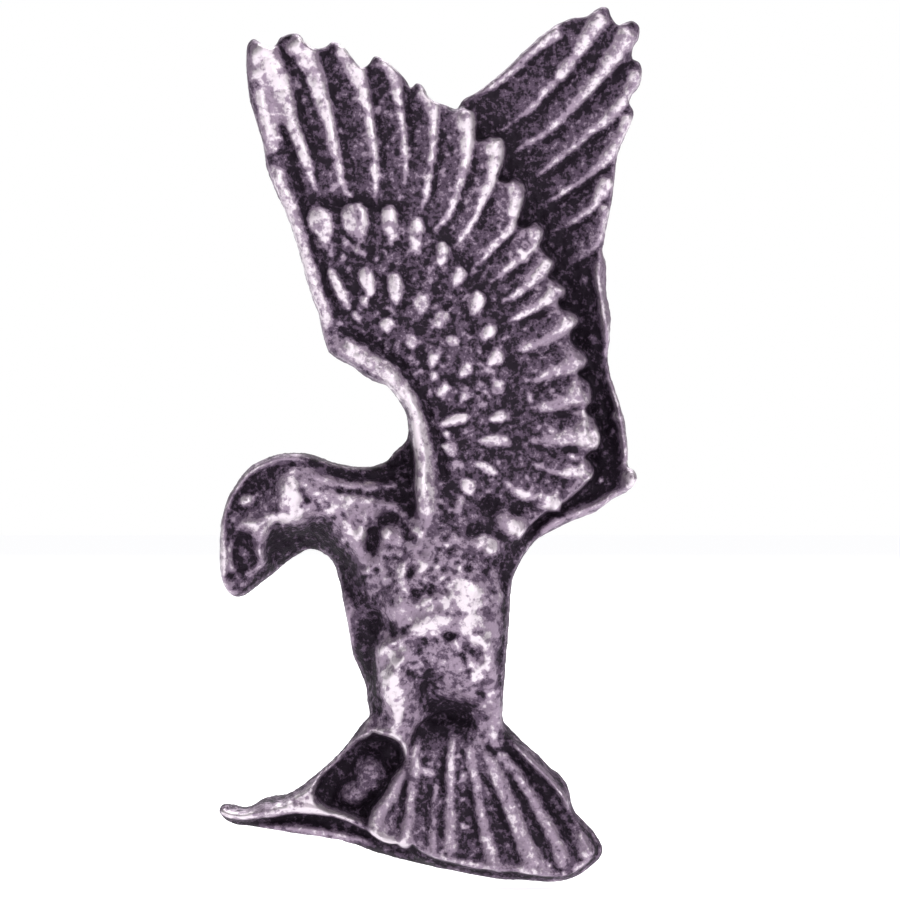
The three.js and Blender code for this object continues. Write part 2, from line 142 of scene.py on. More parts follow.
class NodeMaker:
    """Adds nodes to a material's tree or a Geometry Nodes tree."""

    def __init__(self, group: bpy.types.NodeTree) -> None:
        """Keeps the tree."""
        self.group = group

    def feed(self, socket: bpy.types.NodeSocket, value: Any) -> None:
        """Links or sets one input socket.

        Args:
            socket: the input.
            value: a socket to link, or a value to set.
        """
        if isinstance(value, Sock):
            self.group.links.new(value.socket, socket)
        else:
            socket.default_value = value

    def node(self, kind: str, settings: dict[str, Any] | None = None, values: Any = None,
             output: int | str = 0) -> Sock:
        """Adds any node.

        Args:
            kind: the node's type name.
            settings: its properties, set before its sockets, with a float curve's places as bend.
            values: its inputs, as a list in socket order or a dict by socket name or number.
            output: which output to return.
        Returns:
            That output.
        """
        made = self.group.nodes.new(kind)
        for key, value in (settings or {}).items():
            if key == "bend":
                self._bend(made.mapping, value)
            else:
                setattr(made, key, value)
        pairs = enumerate(values) if isinstance(values, list) else (values or {}).items()
        for key, value in pairs:
            self.feed(made.inputs[key], value)
        return Sock(self, made.outputs[output])

    @staticmethod
    def _bend(mapping: bpy.types.CurveMapping, places: Sequence[Point]) -> None:
        """Runs a float curve through places.

        Args:
            mapping: the curve's mapping.
            places: places along the curve and its values there.
        """
        points = mapping.curves[0].points
        points[0].location, points[1].location = places[0], places[-1]
        for place in places[1:-1]:
            points.new(*place)
        mapping.update()


class ShaderTree(NodeMaker):
    """Builds one material's nodes."""

    def __init__(self, name: str) -> None:
        """Starts a material with a Principled shader and nothing else.

        Args:
            name: its name.
        """
        self.material = bpy.data.materials.new(name)
        self.material.use_nodes = True
        super().__init__(self.material.node_tree)

    def noise(self, per_mm: float, detail: float = 3.0, rough: float = 0.6,
              stretch: Triple | None = None) -> Sock:
        """Fractal noise on object coordinates.

        Args:
            per_mm: how many lumps there are to the millimetre.
            detail: the number of finer layers.
            rough: how strong the finer layers are.
            stretch: a further scale along each axis.
        Returns:
            A value around 0.5.
        """
        place = self.node("ShaderNodeTexCoord", output="Object")
        if stretch:
            place = self.node("ShaderNodeVectorMath", {"operation": "MULTIPLY"}, [place, stretch])
        values = {"Vector": place, "Scale": per_mm / MM, "Detail": detail, "Roughness": rough}
        return self.node("ShaderNodeTexNoise", None, values)

    def attribute(self, name: str) -> Sock:
        """A number stored on the mesh's points."""
        return self.node("ShaderNodeAttribute", {"attribute_name": name}, output="Fac")

    def blend(self, amount: Any, first: Any, second: Any) -> Sock:
        """Mixes two colours, each a colour or a socket, by an amount of the second.

        Args:
            amount: how much of the second, 0 to 1.
            first: a colour or a socket.
            second: a colour or a socket.
        Returns:
            The mixed colour.
        """
        settings = {"data_type": "RGBA", "blend_type": "MIX", "clamp_factor": True}
        colours = [c if isinstance(c, Sock) else (*c, 1.0) for c in (first, second)]
        return self.node("ShaderNodeMix", settings, {0: amount, 6: colours[0], 7: colours[1]}, 2)

    def bump(self, height: Sock, depth: float) -> Sock:
        """A normal bumped by a height of 0 to 1 that stands for a depth in millimetres."""
        values = {"Height": height, "Distance": depth * MM, "Strength": 1.0}
        return self.node("ShaderNodeBump", None, values)

    def finish(self, **inputs: Any) -> Metal:
        """Sets the Principled shader's inputs.

        Args:
            inputs: values by socket name, with _ for a space.
        Returns:
            The material.
        """
        shader = self.group.nodes["Principled BSDF"]
        for name, value in inputs.items():
            if isinstance(value, tuple):
                value = (*value, 1.0)
            self.feed(shader.inputs[name.replace("_", " ")], value)
        return self.material


class FormTree(NodeMaker):
    """Builds one Geometry Nodes tree with named inputs."""

    def __init__(self, name: str, **inputs: str) -> None:
        """Starts a tree with a Geometry input and output, and a Metal input.

        Args:
            name: the tree's name.
            inputs: the kinds of its further inputs by name, such as Float or Int.
        """
        super().__init__(bpy.data.node_groups.new(name, "GeometryNodeTree"))
        face = self.group.interface
        face.new_socket("Geometry", in_out="OUTPUT", socket_type="NodeSocketGeometry")
        self.ids = {key: face.new_socket(key, in_out="INPUT", socket_type="NodeSocket" + kind).identifier
                    for key, kind in {"Geometry": "Geometry", "Metal": "Material", **inputs}.items()}
        self.given = self.group.nodes.new("NodeGroupInput")

    def value(self, name: str) -> Sock:
        """A named input's socket inside the tree."""
        return Sock(self, self.given.outputs[name])

    def close(self, geometry: Sock) -> None:
        """Ends the tree in Realize Instances and Set Material.

        Args:
            geometry: what the tree has made.
        """
        solid = self.node("GeometryNodeRealizeInstances", None, [geometry])
        dressed = self.node("GeometryNodeSetMaterial", None,
                            {"Geometry": solid, "Material": self.value("Metal")})
        self.feed(self.group.nodes.new("NodeGroupOutput").inputs[0], dressed)

    def run(self, name: str, seed: bpy.types.ID, inputs: dict[str, Any]) -> Piece:
        """Runs the tree on data.

        Args:
            name: the name of what comes out.
            seed: the mesh or curve that the tree starts from.
            inputs: values by name.
        Returns:
            An object with a plain, smooth-shaded mesh.
        """
        start = linked(seed.name, seed)
        modifier = start.modifiers.new("forms", "NODES")
        modifier.node_group = self.group
        for key, value in inputs.items():
            modifier[self.ids[key]] = value
        graph = bpy.context.evaluated_depsgraph_get()
        graph.update()
        made = bpy.data.meshes.new_from_object(start.evaluated_get(graph))
        start.modifiers.remove(modifier)
        bpy.data.objects.remove(start)
        made.polygons.foreach_set("use_smooth", np.ones(len(made.polygons), bool))
        return linked(name, made)


# ---- Finishes ----------------------------------------------------------------------------


@dataclass(frozen=True)
class AntiquedPewter:
    """Cast pewter, darkened in a bath and worn back on its high points, with a painted rim highlight and
    painted shade in the same colours.

    Each pair called to_ is where one colour gives way to the next, from recess to ridge top.
    """

    dark: Triple = (0.013, 0.007, 0.015)
    dusk: Triple = (0.100, 0.066, 0.108)
    lilac: Triple = (0.31, 0.238, 0.315)
    bare: Triple = (0.72, 0.64, 0.70)
    to_dusk: Point = (0.04, 0.30)
    to_lilac: Point = (0.32, 0.54)
    to_bare: Point = (0.64, 0.90)
    to_metal: Point = (0.2, 0.6)
    to_gloss: Point = (0.30, 0.85)
    grain_per_mm: float = 3.4
    speck_per_mm: float = 8.5
    cloud_per_mm: float = 1.1
    pit_depth: float = 0.09

    def material(self) -> Metal:
        """Builds the finish from the mesh's tone attribute, which holds patina, worn metal, painted shade
        and a painted rim highlight, and its rough attribute.

        Returns:
            The material.
        """
        tree = ShaderTree("antiqued_pewter")
        crest, rough = tree.attribute("crest"), tree.attribute("rough")
        grain = tree.noise(self.grain_per_mm, 4.0, 0.62)
        speck, cloud = tree.noise(self.speck_per_mm), tree.noise(self.cloud_per_mm)
        mottle = (grain - 0.5) * (0.85 + 0.9 * rough) + (speck - 0.5) * (0.35 + 0.5 * rough)
        # The level sets dark patina against bright metal, and also carries the painted shade and painted
        # rim highlight from the mesh.
        level = crest + mottle + (cloud - 0.5) * 0.5
        ground = tree.blend(level.step(*self.to_dusk), self.dark, self.dusk)
        metal = tree.blend(level.step(*self.to_lilac), ground, self.lilac)
        bumps = grain * (0.3 + rough) + speck * (0.15 + 0.5 * rough)
        return tree.finish(
            Base_Color=tree.blend(level.step(*self.to_bare), metal, self.bare),
            Metallic=0.2 + 0.45 * level.step(*self.to_metal), Specular_IOR_Level=0.22,
            Roughness=0.66 - 0.28 * level.step(*self.to_gloss),
            Normal=tree.bump(bumps, self.pit_depth),
        )


@dataclass(frozen=True)
class PressedBrass:
    """Sheet brass, pressed and barrelled, with tarnish in the corners."""

    bright: Triple = (0.80, 0.58, 0.24)
    tarnish: Triple = (0.42, 0.25, 0.09)
    rolled: Triple = (1.0, 6.0, 14.0)
    line_depth: float = 0.006

    def material(self) -> Metal:
        """Builds the finish: soft tarnish, fine rolling lines and small scuffs.

        Returns:
            The material.
        """
        tree = ShaderTree("pressed_brass")
        cloud = tree.noise(0.5, rough=0.55)
        lines = tree.noise(1.0, stretch=self.rolled)
        scuff = tree.noise(3.5, 6.0, 0.7).step(0.60, 0.72)
        amount = cloud.step(0.42, 0.72) * 0.55 + scuff * 0.35
        return tree.finish(
            Base_Color=tree.blend(amount, self.bright, self.tarnish), Metallic=1.0,
            Roughness=0.24 + 0.14 * cloud + 0.16 * scuff, Normal=tree.bump(lines, self.line_depth),
        )


@dataclass(frozen=True)
class DrawnSteel:
    """Plated steel, drawn through a die, with fine lines along it."""

    name: str = "drawn_steel"
    colour: Triple = (0.62, 0.63, 0.65)
    dull: Triple = (0.38, 0.38, 0.39)
    along: Triple = (9.0, 1.0, 9.0)
    line_depth: float = 0.006

    def material(self) -> Metal:
        """Builds the finish: long drawing lines and faint dulling.

        Returns:
            The material.
        """
        tree = ShaderTree(self.name)
        lines = tree.noise(1.6, stretch=self.along)
        cloud = tree.noise(0.9, rough=0.55)
        return tree.finish(
            Base_Color=tree.blend(cloud.step(0.45, 0.8) * 0.6, self.colour, self.dull),
            Metallic=1.0, Roughness=0.22 + 0.18 * cloud, Normal=tree.bump(lines, self.line_depth),
        )


@dataclass(frozen=True)
class FlowedSolder:
    """Dull solder with a frosted, slightly wrinkled skin."""

    colour: Triple = (0.50, 0.49, 0.48)
    flux: Triple = (0.20, 0.15, 0.09)
    wrinkle_depth: float = 0.02

    def material(self) -> Metal:
        """Builds the finish: frost, wrinkles and a trace of burnt flux.

        Returns:
            The material.
        """
        tree = ShaderTree("flowed_solder")
        frost, burnt = tree.noise(4.0, 4.0), tree.noise(1.2).step(0.55, 0.75)
        return tree.finish(
            Base_Color=tree.blend(burnt * 0.5, self.colour, self.flux), Metallic=0.9,
            Roughness=0.34 + 0.2 * frost, Normal=tree.bump(frost, self.wrinkle_depth),
        )


@dataclass(frozen=True)
class PalePaper:
    """The plain pale surface below the badge."""

    colour: Triple = (0.86, 0.86, 0.87)
    shade: Triple = (0.80, 0.80, 0.81)
    glow: float = 0.97

    def material(self) -> Metal:
        """Builds a matt white with the faintest tooth.

        Returns:
            The material.
        """
        tree = ShaderTree("pale_paper")
        tooth = tree.noise(1.5)
        return tree.finish(
            Base_Color=tree.blend(tooth * 0.04, self.colour, self.shade), Roughness=0.9,
            Emission_Color=self.colour, Emission_Strength=self.glow, Normal=tree.bump(tooth, 0.01),
        )


# ---- Shaping: strokes, dabs and spot heights ---------------------------------------------


@dataclass(frozen=True)
class Stroke:
    """A ridge along a path, or a groove where its rise is negative."""

    path: tuple[Point, ...]
    width: float
    rise: float
    taper: float = 0.2


@dataclass(frozen=True)
class Dab:
    """A mound at a place, or a pit where its rise is negative."""

    x: float
    z: float
    width: float
    height: float
    rise: float
    turn: float = 0.0


@dataclass(frozen=True)
class Feather:
    """A flight feather's raised shaft, from its root to its blunt tip."""

    path: tuple[Point, ...]
    width: float


def through(points: Sequence[Point], closed: bool, step: float) -> Array:
    """A smooth curve through points.

    Args:
        points: the places it passes, in order.
        closed: whether it returns to its start.
        step: the distance between samples.
    Returns:
        The samples, evenly spaced, as rows of x and z.
    """
    knots = np.array(points, float)
    if closed:
        knots = np.vstack([knots[-1], knots, knots[0], knots[1]])
    else:
        first, last = 2 * knots[0] - knots[1], 2 * knots[-1] - knots[-2]
        knots = np.vstack([first, knots, last])
    gaps = np.maximum(np.linalg.norm(np.diff(knots, axis=0), axis=1), 1e-6) ** 0.5
    times = np.concatenate([[0], np.cumsum(gaps)])
    pieces = []
    for i in range(1, len(knots) - 2):
        t0, t1, t2, t3 = times[i - 1:i + 3]
        t = np.linspace(t1, t2, 13)[:-1, None]
        a1 = (t1 - t) / (t1 - t0) * knots[i - 1] + (t - t0) / (t1 - t0) * knots[i]
        a2 = (t2 - t) / (t2 - t1) * knots[i] + (t - t1) / (t2 - t1) * knots[i + 1]
        a3 = (t3 - t) / (t3 - t2) * knots[i + 1] + (t - t2) / (t3 - t2) * knots[i + 2]
        b1 = (t2 - t) / (t2 - t0) * a1 + (t - t0) / (t2 - t0) * a2
        b2 = (t3 - t) / (t3 - t1) * a2 + (t - t1) / (t3 - t1) * a3
        pieces.append((t2 - t) / (t2 - t1) * b1 + (t - t1) / (t2 - t1) * b2)
    fine = np.vstack([*pieces, knots[-2][None]])
    lengths = np.concatenate([[0], np.cumsum(np.linalg.norm(np.diff(fine, axis=0), axis=1))])
    count = max(2, int(round(lengths[-1] / step)) + 1)
    places = np.linspace(0, lengths[-1], count)
    samples = np.column_stack([np.interp(places, lengths, fine[:, k]) for k in (0, 1)])
    return samples[:-1] if closed else samples


def smooth_step(values: Array) -> Array:
    """The usual smooth step, clamped to 0 and 1."""
    t = np.clip(values, 0, 1)
    return t * t * (3 - 2 * t)


RUBBED_RISE = 0.3
PRESS_REACH = 5
RAY_START = -20.0


class Seed(IntEnum):
    """The fixed seeds of all that is random. A seed's follower is used with it where two are."""

    WALL = 5
    FINE_GRAIN = 11
    COARSE_GRAIN = 12
    COVERTS = 31
    CRACKS = 41
    CRACKED_AREAS = 42
    PITS = 43
    BODY_WORN = 44
    WING_WORN = 46
    PLATES = 48
    LEG_WORN = 50
    BODY_WARP = 51
    TAIL_WORN = 52
    WARP = 61
    RUBBING = 62


class ReliefMap:
    """Heights above the flat back on a fine square grid, which sub-assemblies shape in turn."""

    def __init__(self, low: Point, high: Point, pitch: float) -> None:
        """Starts a flat map.

        Args:
            low: the lowest x and z.
            high: the highest x and z.
            pitch: the grid's spacing.
        """
        self.low = low
        self.pitch = pitch
        xs = np.arange(low[0], high[0], pitch)
        zs = np.arange(low[1], high[1], pitch)
        self.x, self.z = np.meshgrid(xs, zs)
        self.height = np.zeros_like(self.x)
        self.rough = np.ones_like(self.x)
        # How bright each place is made: worn metal, painted shade from patches with a negative rise, and a
        # painted highlight along the rim.
        self.polish_and_painted_light = np.zeros_like(self.x)
        self.laid = np.zeros(self.x.shape, bool)

    def _window(self, low: Array, high: Array) -> tuple[slice, slice]:
        """The grid's slices between two corners.

        Args:
            low: the lower corner.
            high: the upper corner.
        Returns:
            The rows and the columns.
        """
        first = np.floor((low - self.low) / self.pitch).astype(int)
        last = np.ceil((high - self.low) / self.pitch).astype(int) + 1
        rows, columns = self.x.shape
        return (slice(max(first[1], 0), min(last[1], rows)),
                slice(max(first[0], 0), min(last[0], columns)))

    def trace(self, line: Array, reach: float) -> tuple[Array, Array, Array]:
        """Measures the grid against a line.

        Args:
            line: the line's samples.
            reach: the furthest distance that matters.
        Returns:
            The distance, the share of the line's length, and 1 on its right or -1 on its left.
        """
        distance = np.full_like(self.x, reach)
        along = np.zeros_like(self.x)
        side = np.ones_like(self.x)
        count = len(line) - 1
        for i in range(count):
            start, end = line[i], line[i + 1]
            window = self._window(np.minimum(start, end) - reach, np.maximum(start, end) + reach)
            dx, dz = self.x[window] - start[0], self.z[window] - start[1]
            run = end - start
            share = np.clip((dx * run[0] + dz * run[1]) / max(run @ run, 1e-12), 0, 1)
            off_x, off_z = dx - share * run[0], dz - share * run[1]
            found = np.hypot(off_x, off_z)
            closer = found < distance[window]
            distance[window] = np.where(closer, found, distance[window])
            along[window] = np.where(closer, (i + share) / count, along[window])
            turn = np.where(run[0] * off_z - run[1] * off_x < 0, 1.0, -1.0)
            side[window] = np.where(closer, turn, side[window])
        return distance, along, side

    def inside(self, outline: Sequence[Point], reach: float = 1.5) -> Array:
        """The distance inside a closed outline, negative outside it.

        Args:
            outline: its points.
            reach: the furthest distance that matters.
        Returns:
            The signed distance, clipped to the reach.
        """
        loop = through(outline, True, 2 * self.pitch)
        ring = np.vstack([loop, loop[0]])
        distance, _, _ = self.trace(ring, reach)
        crossings = np.zeros((self.x.shape[0], self.x.shape[1] + 1), int)
        zs, xs = self.z[:, 0], self.x[0]
        for start, end in zip(ring[:-1], ring[1:]):
            rows = np.nonzero((zs >= min(start[1], end[1])) & (zs < max(start[1], end[1])))[0]
            if len(rows):
                at = start[0] + (zs[rows] - start[1]) * (end - start)[0] / (end - start)[1]
                np.add.at(crossings, (rows, np.searchsorted(xs, at)), 1)
        odd = np.cumsum(crossings, axis=1)[:, :-1] % 2 == 1
        return np.where(odd, distance, -distance)

    def spots(self, heights: Sequence[Triple]) -> Array:
        """A thin plate bent through spot heights.

        Args:
            heights: x, z and height of each spot.
        Returns:
            The height all over the grid.
        """
        knots = np.array(heights, float)
        count = len(knots)

        def bend(x: Array, z: Array) -> Array:
            """The plate's kernel for a squared distance."""
            squared = x * x + z * z + 1e-9
            return squared * np.log(squared)

        dx = knots[:, None, 0] - knots[None, :, 0]
        dz = knots[:, None, 1] - knots[None, :, 1]
        flat = np.column_stack([np.ones(count), knots[:, :2]])
        system = np.block([[bend(dx, dz) + 0.02 * np.eye(count), flat],
                           [flat.T, np.zeros((3, 3))]])
        weights = np.linalg.solve(system, np.concatenate([knots[:, 2], np.zeros(3)]))
        result = weights[-3] + weights[-2] * self.x + weights[-1] * self.z
        for weight, (x, z, _) in zip(weights, knots):
            result += weight * bend(self.x - x, self.z - z)
        return result

    def lay(self, outline: Sequence[Point], surface: Array, rise: float = 0.16) -> Array:
        """Lays a plate over what is there, with a short sloping edge.

        Args:
            outline: the plate's outline.
            surface: its heights.
            rise: how wide its edge is.
        Returns:
            The signed distance inside its outline.
        """
        depth = self.inside(outline)
        share = smooth_step(depth / rise)
        over = self.height + (surface - self.height) * share
        self.height = np.where(depth > 0, np.where(self.laid, over, surface), self.height)
        self.polish_and_painted_light *= 1 - share
        self.laid |= depth > 0
        return depth

    def shape(self, *forms: Stroke | Dab) -> None:
        """Raises ridges and mounds, and cuts grooves and pits, one after another.

        Args:
            forms: the strokes and dabs, in the order in which they are shaped.
        """
        for form in forms:
            share = self.along(form) if isinstance(form, Stroke) else self.share(form)
            self.height += form.rise * share
            if form.rise > 0:
                worn = smooth_step((share - 0.25) / 0.4) * min(1.0, form.rise / RUBBED_RISE)
                self.polish_and_painted_light = np.maximum(self.polish_and_painted_light, worn)
            else:
                self.polish_and_painted_light *= 1 - share

    def along(self, stroke: Stroke) -> Array:
        """How far each place is within a stroke: 1 on its line and 0 well outside it.

        Args:
            stroke: the stroke.
        Returns:
            The share at each place.
        """
        distance, along, _ = self.trace(through(stroke.path, False, 0.12), 2.2 * stroke.width)
        ends = smooth_step(np.minimum(along, 1 - along) / max(stroke.taper, 1e-3))
        return np.exp(-(distance / (stroke.width / 2)) ** 2) * (0.25 + 0.75 * ends)

    def share(self, dab: Dab) -> Array:
        """How far each place is within a dab: 1 in its middle and 0 well outside it.

        Args:
            dab: the dab.
        Returns:
            The share at each place.
        """
        turn = math.radians(dab.turn)
        dx, dz = self.x - dab.x, self.z - dab.z
        u = (dx * math.cos(turn) + dz * math.sin(turn)) / (dab.width / 2)
        v = (-dx * math.sin(turn) + dz * math.cos(turn)) / (dab.height / 2)
        return np.exp(-(u * u + v * v) ** 1.5)

    def brighten_and_shade(self, *patches: Dab) -> None:
        """Brightens patches as worn metal, and paints shade where their rise is negative, without shaping
        them.
        """
        for patch in patches:
            self.polish_and_painted_light += patch.rise * self.share(patch)

    def fray(self, patches: Sequence[Dab], seed: int) -> Array:
        """Patches with ragged edges and holes, as metal wears through its patina.

        Args:
            patches: where they are, with how much of each is bare as its rise.
            seed: the noise's seed.
        Returns:
            How bare each place is, 0 to 1.
        """
        patch = np.zeros_like(self.height)
        for dab in patches:
            patch = np.maximum(patch, dab.rise * self.share(dab))
        ragged = 0.75 * self.grain(0.2, seed) + 0.75 * self.grain(0.075, seed + 1)
        return smooth_step((patch + 0.6 * ragged - 0.62) / 0.12)

    def wear(self, patches: Sequence[Dab], seed: int, depth: Array) -> None:
        """Rubs ragged patches bare on the plate whose signed depth is given, as fray does.

        Args:
            patches: where they are.
            seed: the seed of their ragged edges.
            depth: the signed distance inside the sub-assembly's plate.
        """
        bare = self.fray(patches, seed) * (depth > 0)
        self.height += 0.04 * bare
        self.polish_and_painted_light = np.maximum(self.polish_and_painted_light, bare)

    def press(self, forms: Piece) -> None:
        """Raises the map to the front of closed forms, as wax takes a shape, and removes them.

        Args:
            forms: an object whose mesh is in metres.
        """
        mesh = forms.data
        mesh.calc_loop_triangles()
        corners = np.empty(3 * len(mesh.vertices))
        mesh.vertices.foreach_get("co", corners)
        corners = corners.reshape(-1, 3) / MM
        triangles = [tuple(t.vertices) for t in mesh.loop_triangles]
        tree = BVHTree.FromPolygons(corners.tolist(), triangles)
        near = np.zeros(self.x.shape, bool)
        places = np.round((corners[:, [0, 2]] - self.low) / self.pitch).astype(int)
        around = range(-PRESS_REACH, PRESS_REACH + 1)
        for row in around:
            for column in around:
                rows = np.clip(places[:, 1] + row, 0, near.shape[0] - 1)
                columns = np.clip(places[:, 0] + column, 0, near.shape[1] - 1)
                near[rows, columns] = True
        toward = Vector((0, 1, 0))
        for row, column in zip(*np.nonzero(near)):
            place = Vector((self.x[row, column], RAY_START, self.z[row, column]))
            hit = tree.ray_cast(place, toward)[0]
            if hit is not None and -hit.y > self.height[row, column]:
                raised = -hit.y - self.height[row, column]
                self.height[row, column] += raised
                self.polish_and_painted_light[row, column] = max(self.polish_and_painted_light[row, column], min(1.0, raised / 0.035))
        bpy.data.objects.remove(forms)

    def _softened(self, values: Array, size: float) -> Array:
        """A field blurred over a radius, with the map's edges joined up.

        Args:
            values: the field.
            size: the radius in millimetres.
        Returns:
            The blurred field.
        """
        rows = np.fft.fftfreq(values.shape[0], self.pitch)[:, None]
        columns = np.fft.rfftfreq(values.shape[1], self.pitch)[None]
        gain = np.exp(-2 * (math.pi * size) ** 2 * (rows ** 2 + columns ** 2))
        return np.fft.irfft2(np.fft.rfft2(values) * gain, values.shape)

    def blur(self, values: Array, size: float) -> Array:
        """Blurs a field within the laid area.

        Args:
            values: the field.
            size: the blur's radius in millimetres.
        Returns:
            The blurred field.
        """
        mask = self.laid.astype(float)
        return self._softened(values * mask, size) / np.maximum(self._softened(mask, size), 1e-4)

    def spread(self, values: Array) -> Array:
        """Continues a field past the edge of the laid area."""
        return np.where(self.laid, values, self.blur(values, 2 * self.pitch))

    def grain(self, size: float, seed: int) -> Array:
        """Seeded noise with lumps of a given size, from about -1 to 1 at most points.

        Args:
            size: the radius in millimetres.
            seed: the seed.
        Returns:
            The noise.
        """
        random = np.random.default_rng(int(seed)).standard_normal(self.x.shape)
        soft = self._softened(random, size)
        return soft / soft.std() * 0.6

    def warp(self, amount: Array | float, size: float, seed: int) -> None:
        """Shifts what is drawn here and there, as a hand-cut master wanders.

        Args:
            amount: the usual shift in millimetres, all over or place by place.
            size: how far apart the shifts change.
            seed: the noise's seed.
        """
        moved = np.column_stack([(self.x + amount * self.grain(size, seed)).ravel(),
                                 (self.z + amount * self.grain(size, seed + 1)).ravel()])
        for name in ("height", "polish_and_painted_light"):
            shifted = self.sample(self.spread(getattr(self, name)), moved).reshape(self.x.shape)
            setattr(self, name, np.where(self.laid, shifted, 0.0))

    def sample(self, values: Array, places: Array) -> Array:
        """A field's values at places, taken between grid points.

        Args:
            values: the field.
            places: rows of x and z.
        Returns:
            One value for each place.
        """
        u = np.clip((places[:, 0] - self.low[0]) / self.pitch, 0, self.x.shape[1] - 1.001)
        v = np.clip((places[:, 1] - self.low[1]) / self.pitch, 0, self.x.shape[0] - 1.001)
        i, j = v.astype(int), u.astype(int)
        fv, fu = v - i, u - j
        low = values[i, j] * (1 - fu) + values[i, j + 1] * fu
        high = values[i + 1, j] * (1 - fu) + values[i + 1, j + 1] * fu
        return low * (1 - fv) + high * fv


# ---- Forms made with Geometry Nodes ------------------------------------------------------

CLUB = ((0.0, 0.12), (0.25, 0.42), (0.6, 0.62), (0.84, 0.92), (0.93, 1.0), (0.985, 0.72), (1.0, 0.12))
BAR = ((0.0, 0.40), (0.15, 0.62), (0.5, 0.75), (0.84, 0.95), (0.93, 1.0), (0.985, 0.72), (1.0, 0.12))


def linked(name: str, data: bpy.types.ID) -> Piece:
    """Puts data into the scene as an object at the origin.

    Args:
        name: its name.
        data: a mesh, a curve, a light or a camera.
    Returns:
        The object.
    """
    made = bpy.data.objects.new(name, data)
    bpy.context.scene.collection.objects.link(made)
    return made


def add_line(curve: bpy.types.Curve, places: Sequence[Sequence[float]],
             girths: Sequence[float] | None = None) -> None:
    """Adds a line to a curve.

    Args:
        curve: the curve.
        places: the line's points, as rows of x, y and z in millimetres.
        girths: each point's radius in millimetres.
    """
    curve.dimensions = "3D"
    points = curve.splines.new("POLY").points
    points.add(len(places) - 1)
    for i, (x, y, z) in enumerate(places):
        points[i].co = (x * MM, y * MM, z * MM, 1.0)
        if girths is not None:
            points[i].radius = girths[i] * MM


class RibMaker:
    """Makes feather shafts: tapered rods with a blunt tip, along curves."""

    girth = 0.68
    facets = 14
    stations = 30

    def __init__(self, swell: Sequence[Point] = CLUB) -> None:
        """Builds the tree once for every feather, whose girth swells along it.

        Args:
            swell: places along a shaft and its girth there, as a share.
        """
        self.swell = swell
        self.tree = tree = FormTree("feather_shafts", Facets="Int", Stations="Int")
        evened = tree.node("GeometryNodeResampleCurve", None,
                           {"Curve": tree.value("Geometry"), "Count": tree.value("Stations")})
        share = tree.node("GeometryNodeSplineParameter", output="Factor")
        club = tree.node("ShaderNodeFloatCurve", {"bend": swell}, {"Value": share})
        ring = tree.node("GeometryNodeCurvePrimitiveCircle", None,
                         {"Resolution": tree.value("Facets"), "Radius": 1.0})
        tree.close(tree.node("GeometryNodeCurveToMesh", None, {
            "Curve": evened, "Profile Curve": ring, "Fill Caps": True,
            "Scale": tree.node("GeometryNodeInputRadius") * club}))

    def make(self, feathers: Sequence[Feather], relief: ReliefMap, sunk: float,
             metal: Metal) -> Piece:
        """Makes the shafts of one wing or tail.

        Args:
            feathers: their paths and tip widths.
            relief: the map that they lie on.
            sunk: how far each rod's middle is below the surface, as a share of its own radius.
            metal: the finish.
        Returns:
            An object that holds all the rods.
        """
        curve = bpy.data.curves.new("shafts", "CURVE")
        for feather in feathers:
            line = through(feather.path, False, 0.3)
            girth = self.girth * feather.width
            swell = np.interp(np.linspace(0, 1, len(line)), *np.transpose(self.swell))
            front = sunk * girth * swell - relief.sample(relief.height, line)
            add_line(curve, np.column_stack([line[:, 0], front, line[:, 1]]), [girth] * len(line))
        sizes = {"Facets": self.facets, "Stations": self.stations, "Metal": metal}
        return self.tree.run("shaft_forms", curve, sizes)


class PadMaker:
    """Makes covert feathers: drop-shaped pads that point away from the shoulder."""

    half_width = 0.72
    half_height = 0.55
    half_length = 0.6

    def __init__(self) -> None:
        """Builds the tree: one drop, put on every point with its own size and turn."""
        self.tree = tree = FormTree("covert_pads")
        ball = tree.node("GeometryNodeMeshUVSphere", None, {"Segments": 20, "Rings": 12, "Radius": 1.0})
        place = tree.node("GeometryNodeInputPosition")
        x, y, z = (tree.node("ShaderNodeSeparateXYZ", None, [place], axis) for axis in range(3))
        slim = tree.node("ShaderNodeMath", {"operation": "MULTIPLY_ADD"}, [z, 0.32, 0.85])
        shaped = tree.node("ShaderNodeCombineXYZ", None, [x * slim, y, z])
        drop = tree.node("GeometryNodeSetPosition", None, {"Geometry": ball, "Position": shaped})
        size, turn = (tree.node("GeometryNodeInputNamedAttribute", {"data_type": "FLOAT_VECTOR"},
                                {"Name": name}) for name in ("pad_size", "pad_turn"))
        spin = tree.node("FunctionNodeEulerToRotation", None, [turn])
        tree.close(tree.node("GeometryNodeInstanceOnPoints", None, {
            "Points": tree.value("Geometry"), "Instance": drop, "Rotation": spin, "Scale": size}))

    def make(self, pads: Sequence[Dab], fan: Point, relief: ReliefMap, metal: Metal) -> Piece:
        """Makes the pads of one wing.

        Args:
            pads: their places, widths and lengths.
            fan: the place that they all point away from.
            relief: the map that they lie on.
            metal: the finish.
        Returns:
            An object that holds all the pads.
        """
        places = np.array([(pad.x, pad.z) for pad in pads])
        heights = relief.sample(relief.height, places)
        mesh = bpy.data.meshes.new("pad_points")
        mesh.from_pydata([(x * MM, -h * MM, z * MM) for (x, z), h in zip(places, heights)], [], [])
        size = mesh.attributes.new("pad_size", "FLOAT_VECTOR", "POINT")
        turn = mesh.attributes.new("pad_turn", "FLOAT_VECTOR", "POINT")
        for i, pad in enumerate(pads):
            size.data[i].vector = (pad.width * self.half_width * MM, pad.rise * self.half_height * MM,
                                   pad.height * self.half_length * MM)
            turn.data[i].vector = (0.0, math.atan2(pad.x - fan[0], pad.z - fan[1]), 0.0)
        return self.tree.run("pad_forms", mesh, {"Metal": metal})


# ---- The casting's sub-assemblies ----------------------------------------------------------


